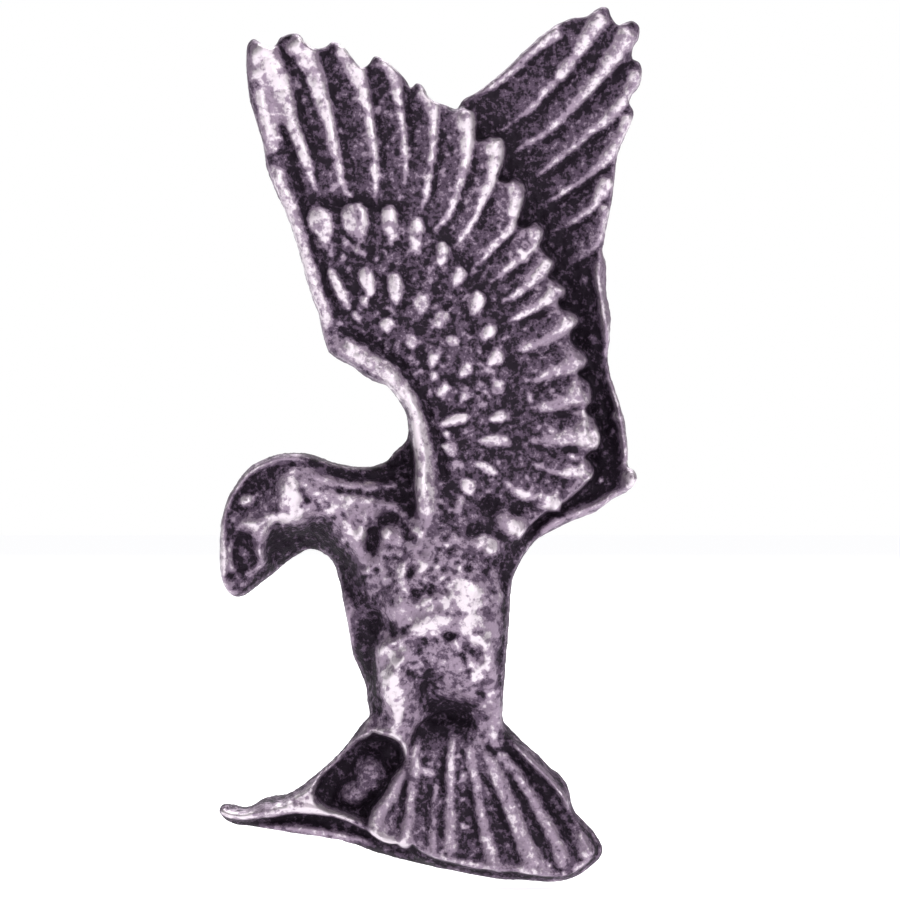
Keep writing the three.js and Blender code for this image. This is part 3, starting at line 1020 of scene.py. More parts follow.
@dataclass(frozen=True)
class RearWing:
    """The far wing, seen behind the near one."""

    edge: tuple[Point, ...] = (
        (0.27, 6.98), (0.93, 7.38), (2, 8.22), (3, 9.18), (4, 10.02), (4.96, 10.53), (5.62, 10.61),
        (5.99, 10.86), (6.28, 11.02), (6.54, 10.97), (6.69, 10.6), (6.98, 10.24), (7.24, 10.31),
        (7.6, 10.42), (7.9, 10.17), (7.86, 9.73), (7.64, 9.29), (7.6, 8.8), (7.9, 8.63), (8.02, 8.26),
        (7.9, 7.67), (7.53, 7.16), (7.46, 6.87), (7.64, 6.54), (7.57, 6.06), (7.16, 5.18), (6.94, 4.5),
        (6.83, 3.57), (6.69, 2.47), (6.5, 1.6), (6.38, 0.8), (6.32, 0.5), (6.47, -0.23), (6.47, -1.33),
        (6.65, -2.43), (6.61, -3.53), (6.54, -4.2), (6.65, -4.93), (6.91, -5.73), (7.16, -6.54),
        (7.35, -7.56), (7.42, -8.3), (7.42, -8.92), (7.68, -9.1), (7.79, -9.47), (7.46, -9.9),
        (6.8, -10.28), (6, -10.87), (5.12, -11.2), (4.31, -11.57), (3.65, -11.93), (3.14, -12.37),
    )
    heights: tuple[Triple, ...] = (
        (0.6, 7, 1.75), (3, 9, 1.8), (6.3, 10.8, 2), (7.7, 10, 2), (7.8, 8.3, 1.9), (7.4, 6.3, 1.9),
        (6.7, 3, 1.8), (2.2, 5.2, 1.25), (3.3, 3.4, 1.15), (4.3, 0.8, 0.95), (5.2, -2, 0.8), (5.9, -5, 0.8),
        (6.3, 0, 1.5), (6.5, -3, 1.5), (7.3, -8.3, 1.6), (6.6, -8, 0.85), (6.4, -9.6, 1), (5, -10.7, 1.2),
        (3.2, -12, 1.8), (5, 6.5, 1.55), (5.6, 3, 1.3), (4, 7.5, 1.6),
    )
    feathers: tuple[Feather, ...] = (
        Feather(((0.8, 7), (2.3, 8.2), (3.4, 9.2), (4.6, 10.05)), 0.55),
        Feather(((1.8, 5.6), (3.6, 7.05), (5, 8.8), (5.5, 9.5), (6.4, 10.75)), 0.75),
        Feather(((2.1, 4.5), (4, 5.8), (6.1, 8), (7, 9.2), (7.6, 10.15)), 0.8),
        Feather(((3.2, 3.55), (5, 4.95), (6.8, 6.5), (7.6, 7.4), (7.85, 8.35)), 0.65),
        Feather(((3.4, 2.3), (5, 3.3), (6.4, 4.4), (7.2, 5.6), (7.5, 6.45)), 0.6),
        Feather(((4, 1.2), (5.5, 2.1), (6.1, 2.6), (6.65, 3.65)), 0.55),
        Feather(((4.4, -0.4), (5.5, 0.2), (6.1, 0.8), (6.5, 2.5)), 0.42),
    )
    rims: tuple[Stroke, ...] = (
        Stroke(((6.15, 0.3), (6.15, -0.8), (6.3, -1.8), (6.5, -2.8), (6.45, -3.9)), 0.34, 0.5),
        Stroke(((6.6, -4.9), (6.95, -6.2), (7.2, -7.6), (7.3, -8.8)), 0.36, 0.55),
        Stroke(((3, -12.1), (4.2, -11.4), (5.2, -10.9), (6.2, -10.45), (7.2, -9.85)), 0.42, 0.6),
        Stroke(((3.6, -11.5), (4.6, -10.95), (5.8, -10.3)), 0.25, 0.3),
    )
    lumps: tuple[Dab, ...] = (
        Dab(7.48, -9.45, 0.75, 0.9, 0.9), Dab(6.85, -6.75, 0.5, 0.45, 0.45), Dab(6.3, -8.3, 0.5, 0.6, 0.35),
        Dab(6.7, -7.4, 0.4, 0.35, 0.3), Dab(6.1, -6.6, 0.45, 0.5, 0.25), Dab(5.9, -3.4, 0.5, 0.6, 0.22),
        Dab(6.2, -9.5, 0.5, 0.4, 0.35), Dab(5.5, -0.9, 0.5, 0.5, 0.18),
    )

    def sculpt(self, relief: ReliefMap, ribs: RibMaker, metal: Metal) -> None:
        """Shapes the wing on the map.

        Args:
            relief: the map.
            ribs: what makes its feather shafts.
            metal: the finish.
        """
        cover = [*self.edge, (1.0, -12.0), (-1.0, 0.0), (-0.6, 6.4)]
        relief.lay(cover, relief.spots(self.heights))
        vanes(relief, self.feathers, 0.8, 0.22, 0.12)
        relief.press(ribs.make(self.feathers, relief, 0.45, metal))
        relief.shape(*self.rims, *self.lumps)
        relief.polish_and_painted_light *= 0.85


VANE_REACH = 1.6
CUT_WIDTH = 0.13


def vanes(relief: ReliefMap, feathers: Sequence[Feather], reach: float, rise: float,
          cut: float) -> None:
    """Slopes each feather's vane up to its shaft, and cuts it sharply on the far side.

    Args:
        relief: the map.
        feathers: the shafts.
        reach: how far a vane slopes.
        rise: how high it gets beside the shaft.
        cut: how deep the cut is.
    """
    for feather in feathers:
        line = through(feather.path, False, 0.15)
        distance, along, side = relief.trace(line, VANE_REACH)
        near = np.where(side < 0, np.exp(-(distance / reach) ** 2), 0.0)
        beside = (distance - 0.5 * feather.width) / CUT_WIDTH
        groove = np.where(side > 0, np.exp(-beside ** 2), 0.0)
        root = smooth_step(along / 0.3) * (distance < VANE_REACH)
        beyond = smooth_step((1.0 - along) / 0.02)
        relief.height += (rise * near * beyond - cut * groove * beyond) * root


@dataclass(frozen=True)
class FrontWing:
    """The near wing: flight feathers round a patch of coverts, and the arm."""

    edge: tuple[Point, ...] = (
        (-5, -4.3), (-5.4, -4.05), (-5.53, -3.94), (-5.68, -3.57), (-5.83, -3), (-6, -2.2), (-6.34, -1.3),
        (-6.65, -0.2), (-7, 1), (-7.35, 2), (-7.8, 3), (-8.2, 4), (-8.37, 5), (-8.66, 6), (-8.95, 7),
        (-9.08, 8), (-9.1, 9), (-9, 9.45), (-8.8, 9.6), (-8.4, 9.35), (-8.05, 9.18), (-7.83, 9.35),
        (-7.62, 9.65), (-7.2, 9.83), (-6.86, 9.8), (-6.55, 9.43), (-6.1, 9.18), (-5.63, 9.3), (-5.4, 9.48),
        (-4.94, 9.28), (-4.63, 8.9), (-4.13, 8.36), (-3.83, 8.5), (-3.56, 8.85), (-3.1, 8.66),
        (-2.64, 8.28), (-2.3, 7.93), (-2, 7.5), (-1.72, 7.7), (-1.45, 7.5), (-1.26, 7.13), (-0.95, 6.88),
        (-0.5, 6.75), (0, 6.62),
    )
    trailing: tuple[Point, ...] = (
        (0.3, 6.72), (0.62, 6.5), (0.72, 6.1), (0.68, 5.4), (1.1, 5.3), (1.5, 5.5), (1.82, 5.2),
        (1.95, 4.6), (1.8, 3.7), (2.15, 3.45), (2.5, 3.6), (2.78, 3.3), (2.75, 2.5), (2.65, 1.75),
        (3, 1.55), (3.4, 1.75), (3.72, 1.4), (3.65, 0.8), (3.85, 0.45), (4.1, 0.1), (4, -0.5),
        (4.25, -0.72), (4.6, -1.05), (4.45, -1.55), (4.6, -1.95), (5, -2.1), (5.1, -2.6), (5, -3.2),
        (5.1, -3.6), (5.5, -3.95), (5.45, -4.4), (5.35, -4.9), (5.8, -5.3), (5.9, -5.9), (5.7, -6.5),
        (6, -6.95), (6.28, -7.5), (6.2, -8), (5.85, -8.3), (5.65, -8.55), (6, -8.9), (6, -9.3),
        (5.6, -9.75), (5.1, -10.15), (4.6, -10.55), (4, -10.95), (3.5, -11.3), (3.1, -11.6), (2.75, -12),
        (2.4, -12.2), (1.9, -12.2), (1.5, -12.6), (1.15, -12.75), (0.85, -12.4), (0.4, -11.9),
    )
    root: tuple[Point, ...] = (
        (-0.4, -11.8), (-1.3, -12.2), (-1.75, -11.4), (-1.85, -10), (-1.95, -8.6), (-2.07, -7.3),
        (-2.12, -6.87), (-2.3, -6.36), (-2.67, -5.8), (-3.04, -5.4), (-3.5, -5.22), (-4, -4.96),
        (-4.5, -4.56),
    )
    heights: tuple[Triple, ...] = (
        (-5.3, -3.7, 3.15), (-7, 1, 3), (-8.9, 9, 2.5), (-5, 9, 2.4), (-2, 7.2, 2.4), (0.3, 6.2, 2.5),
        (1.5, 5, 2.5), (2.5, 3, 2.5), (3.8, 0, 2.4), (4.8, -2.6, 2.4), (5.4, -5.5, 2.4), (6, -7.6, 2.5),
        (5.2, -9.8, 2.4), (3, -11.5, 2.9), (1.2, -12.5, 3.7), (-2, 0, 3), (0, -4, 3.05), (2, -6, 2.85),
        (-4, 4, 2.8), (-1, 4, 2.85), (-1, -8.6, 3.3), (-1.1, -10.4, 3.75), (-1.3, -11.8, 4.1),
        (0.6, -10.8, 3.5), (-2.7, -5.2, 3.2), (2.6, -9, 2.75), (-7.4, 5, 2.75),
    )
    feathers: tuple[Feather, ...] = (
        Feather(((-6.1, 3), (-6.3, 3.7), (-6.6, 4.5), (-7, 5.6), (-7.4, 6.9), (-7.85, 8.1),
                 (-8.7, 9.5)), 1.08),
        Feather(((-4.5, 2.7), (-4.8, 3), (-5.15, 4), (-5.4, 5), (-5.59, 6), (-5.86, 7), (-6.2, 8.1),
                 (-7.15, 9.75)), 1.03),
        Feather(((-3.48, 2.45), (-3.5, 3), (-3.56, 4), (-3.67, 5), (-3.84, 6), (-4.06, 7), (-4.33, 8),
                 (-4.75, 8.85), (-5.35, 9.32)), 0.78),
        Feather(((-2.24, 3.25), (-2.22, 4), (-2.35, 5), (-2.45, 6), (-2.58, 7), (-2.75, 7.9), (-3.1, 8.4),
                 (-3.5, 8.7)), 0.67),
        Feather(((-1.56, 2), (-1.35, 3), (-1.18, 4), (-1.08, 5), (-1.03, 6), (-1.1, 6.7),
                 (-1.65, 7.55)), 0.65),
        Feather(((-0.97, 1.33), (-0.39, 2), (0, 3), (0.29, 4), (0.38, 5), (0.36, 6), (0.25, 6.5)), 0.73),
        Feather(((0.04, 0.68), (0.38, 1.2), (0.77, 2), (1.23, 3), (1.56, 4), (1.63, 4.6),
                 (1.42, 5.28)), 0.78),
        Feather(((0.62, -0.35), (1.2, 0.24), (1.8, 0.97), (2.31, 1.56), (2.42, 2.3), (2.5, 2.9),
                 (2.47, 3.35)), 0.69),
        Feather(((1.5, -0.93), (2.1, -0.42), (2.75, 0.1), (3.26, 0.75), (3.41, 1.45)), 0.62),
        Feather(((1.9, -1.9), (2.7, -1.33), (3.35, -0.67), (3.75, -0.25), (3.85, 0.2)), 0.62),
        Feather(((2.25, -2.62), (2.77, -2.32), (3.43, -1.92), (4.1, -1.48), (4.35, -1)), 0.75),
        Feather(((2.6, -3.95), (3.35, -3.64), (4, -3.3), (4.6, -2.8), (4.85, -2.3)), 0.78),
        Feather(((2.84, -5.22), (3.57, -5.04), (4.23, -4.78), (4.96, -4.41), (5.2, -4)), 0.83),
        Feather(((3.1, -6.4), (3.87, -6.32), (4.6, -6.02), (5.55, -5.6)), 1),
        Feather(((3.2, -7.75), (4, -7.82), (4.74, -7.64), (5.95, -7.4)), 1.12),
        Feather(((3.28, -8.8), (4.1, -9.03), (4.8, -9.14), (5.75, -9)), 0.78),
        Feather(((1.9, -9.5), (2.77, -10.05), (3.58, -10.39), (4.5, -10.4)), 0.75),
    )
    folds: tuple[Stroke, ...] = (
        Stroke(((-8.95, 9.3), (-8.8, 9.5), (-8.4, 9.25), (-8.05, 9.05), (-7.8, 9.25), (-7.55, 9.6),
                (-7.2, 9.75), (-6.85, 9.65), (-6.55, 9.3), (-6.1, 9.08), (-5.63, 9.2), (-5.4, 9.35),
                (-5, 9.18), (-4.66, 8.8), (-4.13, 8.27), (-3.8, 8.42), (-3.56, 8.7), (-3.1, 8.55),
                (-2.64, 8.18), (-2.3, 7.83), (-2, 7.42), (-1.72, 7.6), (-1.45, 7.4), (-1.26, 7.05),
                (-0.95, 6.8), (-0.5, 6.68)), 0.22, 0.1, 0.03),
        Stroke(((-8, 4.3), (-7.6, 3.3), (-7.22, 2.2), (-6.85, 1.1), (-6.48, -0.2), (-6.1, -1.4),
                (-5.75, -2.4), (-5.5, -3.3)), 0.78, 0.27, 0.1),
        Stroke(((-8.7, 8.8), (-8.55, 7.4), (-8.25, 6), (-8, 4.8)), 0.7, 0.3, 0.2),
        Stroke(((-5.55, -3.6), (-4.8, -3.85), (-4.1, -4.2), (-3.3, -4.7), (-2.75, -5.25), (-2.25, -5.9),
                (-1.9, -6.7), (-1.65, -7.6), (-1.5, -8.6), (-1.4, -9.6), (-1.35, -10.6),
                (-1.4, -11.6)), 1, 0.55, 0.12),
        Stroke(((5.9, -7.2), (6.15, -7.65), (5.9, -8.15)), 0.35, 0.35, 0.2),
        Stroke(((5.9, -9.05), (5.5, -9.75), (4.9, -10.3), (4.3, -10.65)), 0.3, 0.35, 0.2),
        Stroke(((4.3, -10.75), (3.6, -11.15), (3.05, -11.6)), 0.22, 0.25, 0.2),
    )
    grooves: tuple[Stroke, ...] = (
        Stroke(((-6.7, 2.5), (-5.6, 2.55), (-4.9, 2.35), (-4, 2.55), (-3.3, 2.2), (-2.4, 2.25),
                (-1.9, 1.9)), 0.5, -0.2, 0.2),
        Stroke(((-1.9, 2.1), (-1.2, 1.4), (-0.5, 1), (0.3, 0.1), (0.9, -0.9), (1.5, -1.9), (2, -3),
                (2.3, -4.4), (2.45, -5.8), (2.6, -7.2), (2.4, -8.6)), 0.8, -0.14, 0.2),
        Stroke(((-4.9, -3), (-4, -3.4), (-3.2, -3.95), (-2.5, -4.5), (-1.9, -5.3), (-1.35, -6.3),
                (-0.95, -7.4), (-0.65, -8.6), (-0.5, -9.8)), 0.34, -0.32, 0.1),
        Stroke(((-7.3, 4.2), (-6.8, 3.2), (-6.45, 1.9), (-6, 0.4), (-5.6, -1),
                (-5.1, -2.4)), 0.3, -0.25, 0.1),
        Stroke(((-7.6, 6.1), (-7.25, 5), (-6.9, 4)), 0.5, -0.3, 0.3),
    )
    pads: tuple[Dab, ...] = (
        Dab(-5.75, 1.4, 0.82, 1.55, 0.5), Dab(-4.3, 1.55, 0.92, 1.55, 0.55), Dab(-2.9, 1.5, 0.6, 1.5, 0.5),
        Dab(-1.75, 1, 0.66, 1.45, 0.5), Dab(-0.65, 0.2, 0.5, 0.95, 0.45), Dab(0.1, -0.75, 0.5, 0.9, 0.45),
        Dab(0.85, -1.9, 0.6, 0.95, 0.45), Dab(1.35, -3.15, 0.5, 0.7, 0.4), Dab(1.6, -4.25, 0.5, 0.75, 0.4),
        Dab(1.75, -5.5, 0.5, 0.65, 0.4), Dab(1.75, -6.75, 0.42, 0.8, 0.4), Dab(1.6, -7.85, 0.5, 1.25, 0.4),
        Dab(1.2, -8.95, 0.36, 0.9, 0.35), Dab(-5.05, -1.25, 0.36, 1.7, 0.35),
        Dab(-3.85, -1, 0.58, 1.1, 0.45), Dab(-3.95, -1.85, 0.34, 0.6, 0.28),
        Dab(-2.65, -1.2, 0.55, 1.15, 0.45), Dab(-1.5, -1.9, 0.58, 0.9, 0.42),
        Dab(-0.7, -2.6, 0.5, 0.66, 0.38), Dab(-0.25, -3.55, 0.44, 0.52, 0.32),
        Dab(0.35, -4.75, 0.5, 0.62, 0.35), Dab(0.3, -5.9, 0.36, 0.5, 0.32),
        Dab(-0.15, -6.95, 0.4, 1.2, 0.36), Dab(-0.35, -8.15, 0.42, 0.75, 0.36),
        Dab(-4.3, -2.45, 0.3, 0.55, 0.25), Dab(-3, -2.85, 0.5, 0.62, 0.36),
        Dab(-1.95, -3.55, 0.5, 0.66, 0.36), Dab(-1, -4.25, 0.44, 0.66, 0.32),
        Dab(-0.65, -5.6, 0.4, 0.66, 0.32), Dab(-1.05, -5, 0.26, 0.36, 0.22),
        Dab(-0.45, -7.5, 0.24, 0.3, 0.2), Dab(0.43, -9.75, 0.55, 0.7, 0.35),
    )
    scales: tuple[Dab, ...] = (
        Dab(2.3, -11.35, 1.5, 0.95, 0.55, -28), Dab(2.75, -11.75, 0.5, 0.55, 0.3),
        Dab(1.25, -12.2, 1.2, 0.85, 0.45, -20), Dab(1.35, -12.5, 0.5, 0.4, 0.25),
        Dab(0.1, -10.5, 0.4, 0.9, 0.25, -15), Dab(1.4, -10.6, 0.9, 0.9, -0.35),
        Dab(2.6, -10.85, 0.6, 0.4, -0.25), Dab(0.7, -11.6, 0.6, 0.5, -0.25),
    )
    # Patches worn bright, and with a negative rise painted shade, such as on the shaded left halves of the
    # scales at the wing root.
    worn_and_shaded: tuple[Dab, ...] = (
        Dab(-8.3, 8, 1.4, 4, 0.25), Dab(-5.3, -3.5, 0.7, 0.9, 0.4), Dab(-7.6, 5.2, 0.7, 3, -0.3, 12),
        Dab(-4.2, 0.75, 4.6, 0.9, -0.5), Dab(4.4, -4.6, 4, 10, -0.5), Dab(-4, -4.2, 3.6, 1.1, -0.25, -28),
        Dab(-1.5, -10.4, 1.2, 3, -0.35), Dab(2, -11.15, 1.2, 0.9, -0.55), Dab(1, -12, 1, 0.8, -0.5),
        Dab(2.6, 1.4, 4, 3, -0.15, -40),
    )
    worn: tuple[Dab, ...] = (
        Dab(-8.5, 8.7, 1.3, 2.6, 1.4, 10), Dab(-8.1, 7, 1.5, 3.4, 1, 12), Dab(-8.05, 5.2, 0.8, 3, 0.95, 12),
        Dab(-6.85, 8.8, 1.1, 2, 1.1, 25), Dab(-6.2, 7.4, 0.6, 2.4, 0.8, 15),
        Dab(-7.5, 3.4, 0.5, 2.6, 0.7, 18), Dab(-5.6, 0.55, 0.9, 0.8, 0.75), Dab(-4.2, 0.6, 1, 0.9, 0.8),
        Dab(-2.9, 0.6, 0.8, 0.8, 0.7), Dab(-1.5, -9, 0.9, 2.6, 0.85), Dab(-2.3, -5.9, 0.8, 1.6, 0.7, 35),
        Dab(-4.6, -3.9, 1.6, 0.6, 0.7, -25),
    )
    fan: Point = (-2, -7.5)
    patch: tuple[Point, Point, Point] = ((-1.6, -2.8), (3.4, 6.0), (0.86, 0.5))

    def sculpt(self, relief: ReliefMap, ribs: RibMaker, pads: PadMaker,
               metal: Metal) -> None:
        """Shapes the wing on the map.

        Args:
            relief: the map.
            ribs: what makes its feather shafts.
            pads: what makes its coverts.
            metal: the finish.
        """
        cover = [*self.edge, *self.trailing, *self.root]
        # Keeps what lies below, its painted light too, to bring back at the wing root.
        below, worn = relief.height.copy(), relief.polish_and_painted_light.copy()
        depth = relief.lay(cover, relief.spots(self.heights))
        root = (smooth_step((-10.2 - relief.z) / 1.9) * smooth_step((1.3 - relief.x) / 1.0)
                * relief.laid)
        relief.height += (below - relief.height) * root
        relief.polish_and_painted_light += (worn - relief.polish_and_painted_light) * root
        vanes(relief, self.feathers, 0.7, 0.18, 0.11)
        relief.shape(*self.grooves)
        relief.height += 0.10 * self._coverts(relief, depth) * relief.grain(0.11, Seed.COVERTS)
        for forms in (ribs.make(self.feathers, relief, 0.45, metal),
                      pads.make(self.pads, self.fan, relief, metal)):
            relief.press(forms)
        relief.shape(*self.folds, *self.scales)
        # Worn bright patches, and painted shade where the rise is negative.
        relief.brighten_and_shade(*self.worn_and_shaded)
        relief.wear(self.worn, Seed.WING_WORN, depth)

    def _coverts(self, relief: ReliefMap, depth: Array) -> Array:
        """Where the wing has coverts and not flight feathers: 1 there and 0 elsewhere.

        Args:
            relief: the map.
            depth: the signed distance inside the sub-assembly's plate.
        Returns:
            The share at each place.
        """
        (x, z), (wide, high), (cosine, sine) = self.patch
        dx, dz = relief.x - x, relief.z - z
        far = np.hypot((dx * cosine + dz * sine) / wide, (-dx * sine + dz * cosine) / high)
        return smooth_step((1.05 - far) / 0.3) * (depth > 0.3)


@dataclass(frozen=True)
class HeadAndBody:
    """The head, bent neck, breast, belly and thigh."""

    crown: tuple[Point, ...] = (
        (-3.04, -5.4), (-2.67, -5.8), (-2.3, -6.36), (-2.12, -6.87), (-2.07, -7.3), (-2.2, -7.8),
        (-2.72, -8.32), (-3.08, -8.69), (-3.67, -8.91), (-4.26, -8.94), (-5, -8.85), (-5.87, -8.58),
        (-6.45, -8.39), (-7.04, -8.36), (-7.7, -8.39), (-8.3, -8.58), (-8.95, -8.94), (-9.46, -9.57),
        (-9.9, -10.3), (-10.16, -11.25), (-10.23, -12.1), (-10.25, -13), (-10.16, -13.8), (-9.9, -14.33),
        (-9.53, -14.53), (-9.17, -14.44), (-8.73, -14.1), (-8.07, -13.6), (-7.33, -13), (-6.67, -12.57),
        (-6.23, -12.5), (-5.8, -12.65), (-5.43, -12.94), (-5.2, -13.45),
    )
    breast: tuple[Point, ...] = (
        (-5.02, -14.2), (-4.85, -15.1), (-4.68, -15.95), (-4.5, -17), (-4.19, -17.8), (-3.94, -18.4),
        (-3.86, -19.1), (-3.8, -19.75),
    )
    skirt: tuple[Point, ...] = (
        (-3.7, -20.4), (-3.2, -20.7), (-2.75, -20.95), (-2.45, -21.5), (-2.3, -22.1), (-2.05, -21.6),
        (-1.9, -20.8), (-1.5, -20), (-1, -19.55), (-0.4, -19.35), (0.2, -19.45), (0.7, -20), (0.95, -20.8),
        (1.35, -21.5), (1.85, -21.2), (2.1, -20.5),
    )
    flank: tuple[Point, ...] = (
        (2, -20), (1.96, -19.3), (2.04, -18.2), (2.11, -17.1), (2.18, -16.3), (2.26, -15.2), (2.33, -14.1),
        (2.48, -13.55), (2.77, -12.96), (3.14, -12.37),
    )
    head_heights: tuple[Triple, ...] = (
        (-9, -10.4, 3.05), (-8.3, -9.5, 3.2), (-7.4, -10, 3.95), (-7.5, -9.2, 3.6), (-9.8, -12.8, 2.85),
        (-9.5, -14.1, 2.5), (-8.6, -11.5, 3.5), (-8.4, -12.6, 2.9), (-7.75, -12, 2.2), (-7.2, -12.6, 1.4),
        (-8, -13.4, 1.4), (-7, -11.1, 3.3), (-6, -12.2, 1.5), (-6.2, -11.2, 3), (-10, -11.5, 2.8),
        (-8.9, -9, 3), (-7, -8.6, 3.1), (-9.2, -13.4, 2.6), (-5.8, -9, 3.1), (-6, -10, 3.75),
        (-4.5, -9.3, 2.7), (-4.3, -10.2, 3.5), (-4.2, -11.5, 3.7), (-4.9, -12.3, 2.6), (-5.1, -13.2, 1.5),
        (-2.9, -8.6, 1.9), (-2.4, -7.7, 1.4), (-2.3, -6.9, 1.3), (-2.6, -9.6, 2.7), (-2.4, -10.6, 3.3),
        (-3.2, -12.5, 4), (-4.75, -15, 2.5), (-4.5, -16.5, 2.4), (-3.8, -15.8, 2.5), (-2.8, -15, 4),
        (-1.2, -13.5, 4.5), (0.2, -13.8, 4.6), (0.6, -15.3, 4.85), (-0.8, -15.3, 4.75), (1.6, -15.5, 4),
        (2.15, -15.2, 3.3), (1.9, -13.4, 3.6), (2.5, -13.1, 3), (0.8, -12.2, 4.1), (-0.8, -11.7, 4.15),
        (-2.3, -11.7, 4), (0, -17, 4.3), (0.8, -17.8, 4.1), (1.7, -17.5, 3.5), (0, -18.6, 3.6),
        (-0.5, -19.6, 2.5), (1.4, -19.4, 2.9), (1.95, -18.6, 3), (-2.4, -17.4, 4.2), (-2.6, -18.8, 3.9),
        (-3.3, -17.8, 3.3), (-3.9, -18.2, 1.7), (-1.3, -18.6, 3.2), (-3.1, -19.8, 3.1), (-2.3, -21.5, 2.75),
        (-3.8, -19.2, 2), (-4.3, -17.2, 1.4), (1, -20.5, 2.6),
    )
    ridges: tuple[Stroke, ...] = (
        Stroke(((-6.4, -8.6), (-7.1, -8.55), (-7.8, -8.6), (-8.6, -8.95), (-9.2, -9.5), (-9.7, -10.3),
                (-9.98, -11.2), (-10.07, -12.2), (-10.08, -13.1), (-9.98, -13.8),
                (-9.7, -14.3)), 0.3, 0.42, 0.08),
        Stroke(((-6.75, -9.1), (-7.05, -9.5), (-7.15, -10.1), (-7, -10.7), (-6.6, -11)), 1, 0.2, 0.35),
        Stroke(((-7.35, -9.2), (-7.5, -9.7), (-7.45, -10.3), (-7.55, -10.9)), 0.42, 0.2, 0.3),
        Stroke(((-6.3, -10.9), (-7.1, -11.05), (-7.9, -11.2), (-8.5, -11.5), (-9.1, -11.6),
                (-9.6, -11.95)), 0.42, 0.34, 0.2),
        Stroke(((-8.2, -11.5), (-8.32, -12.2), (-8.45, -12.9), (-8.8, -13.5),
                (-9.2, -13.85)), 0.42, 0.4, 0.15),
        Stroke(((-9.5, -12), (-9.72, -12.5), (-9.78, -13.1), (-9.6, -13.6)), 0.24, 0.3, 0.2),
        Stroke(((-6.9, -8.9), (-6, -9.25), (-5, -9.6), (-4, -9.75), (-3, -9.8)), 0.4, 0.14, 0.3),
        Stroke(((-2.9, -8.75), (-2.55, -8.3), (-2.3, -7.7), (-2.2, -7)), 0.24, 0.1, 0.3),
        Stroke(((-6.6, -9.9), (-5.6, -10.1), (-4.6, -10.35), (-3.8, -10.5), (-3, -10.9)), 0.4, 0.12, 0.3),
        Stroke(((-6.5, -10.5), (-5.5, -10.75), (-4.7, -11.2), (-4.2, -12), (-3.95, -13),
                (-3.8, -14.2)), 0.7, 0.2, 0.3),
        Stroke(((-4.9, -9), (-4.1, -9.05), (-3.2, -9)), 0.3, 0.14, 0.3),
        Stroke(((-3.6, -9.8), (-3, -9.75), (-2.2, -9.95), (-2.1, -10.4), (-3, -10.55),
                (-3.5, -10.3)), 0.18, 0.14, 0.2),
        Stroke(((-2.05, -16.15), (-1.5, -15.7), (-0.5, -15.55), (0.5, -15.95), (1.15, -16.5),
                (1.25, -17.8)), 0.5, 0.4, 0.15),
        Stroke(((-3.35, -17.6), (-3.2, -17), (-2.6, -16.5), (-2, -16.15)), 0.34, 0.35, 0.2),
        Stroke(((-2, -16.7), (-2.6, -17.5), (-2.9, -18.3), (-2.75, -19.4)), 0.5, 0.3, 0.25),
        Stroke(((1.6, -14.2), (1.65, -16), (1.6, -18), (1.5, -19.6)), 0.65, 0.2, 0.2),
        Stroke(((-4.3, -20.9), (-3.7, -20.45), (-3, -20.45), (-2.5, -20.9), (-2.25, -21.5),
                (-2.2, -22.1)), 0.36, 0.34, 0.2),
        Stroke(((-8, -12.3), (-7.2, -11.9), (-6.4, -11.75), (-5.7, -12.1), (-5.3, -12.9)), 0.24, 0.13, 0.3),
        Stroke(((-7.9, -12.9), (-7, -12.35), (-6.3, -12.15), (-5.6, -12.6)), 0.2, 0.1, 0.3),
        Stroke(((-2.5, -12.9), (-2.3, -14), (-2.5, -15.2)), 0.5, 0.2, 0.2),
        Stroke(((-4.95, -13.7), (-4.75, -14.9), (-4.6, -15.9), (-4.38, -17),
                (-4.05, -17.9)), 0.3, 0.3, 0.15),
        Stroke(((2.3, -13.8), (2.15, -15.3), (2.08, -16.6), (1.98, -18.2), (1.9, -19.4)), 0.3, 0.2, 0.15),
        Stroke(((1.5, -18.4), (1.55, -19.6), (1.5, -20.6), (1.4, -21.2)), 0.55, 0.22, 0.3),
        Stroke(((-2.3, -18.6), (-2.5, -19.4), (-2.7, -20.1), (-3.1, -20.6)), 0.5, 0.2, 0.3),
    )
    grooves: tuple[Stroke, ...] = (
        Stroke(((-6.2, -9.1), (-5, -9.25), (-4, -9.4), (-3, -9.35), (-2.2, -9.2)), 0.22, -0.3, 0.15),
        Stroke(((-5.4, -9.85), (-4.4, -10.05), (-3.5, -10.15)), 0.2, -0.22, 0.15),
        Stroke(((-2, -9), (-1.95, -10), (-2.05, -11)), 0.3, -0.3, 0.2),
        Stroke(((-6.9, -9.4), (-6.6, -10), (-6.3, -10.6)), 0.25, -0.15, 0.2),
        Stroke(((-3.55, -15.2), (-3.45, -16.2), (-3.65, -17.2), (-3.55, -18.3)), 0.35, -0.35, 0.15),
        Stroke(((2, -13), (1.92, -14.2), (1.95, -15.6), (1.85, -16.8)), 0.15, -0.35, 0.15),
        Stroke(((-1.7, -16.5), (-1.2, -17.6), (-1.5, -18.8)), 0.5, -0.25, 0.2),
        Stroke(((-1.3, -19.5), (-0.6, -19.25), (0.2, -19.2), (0.9, -19.5)), 0.6, -0.5, 0.2),
        Stroke(((-3.9, -9.1), (-3.2, -8.95), (-2.4, -8.7)), 0.2, -0.2, 0.2),
    )
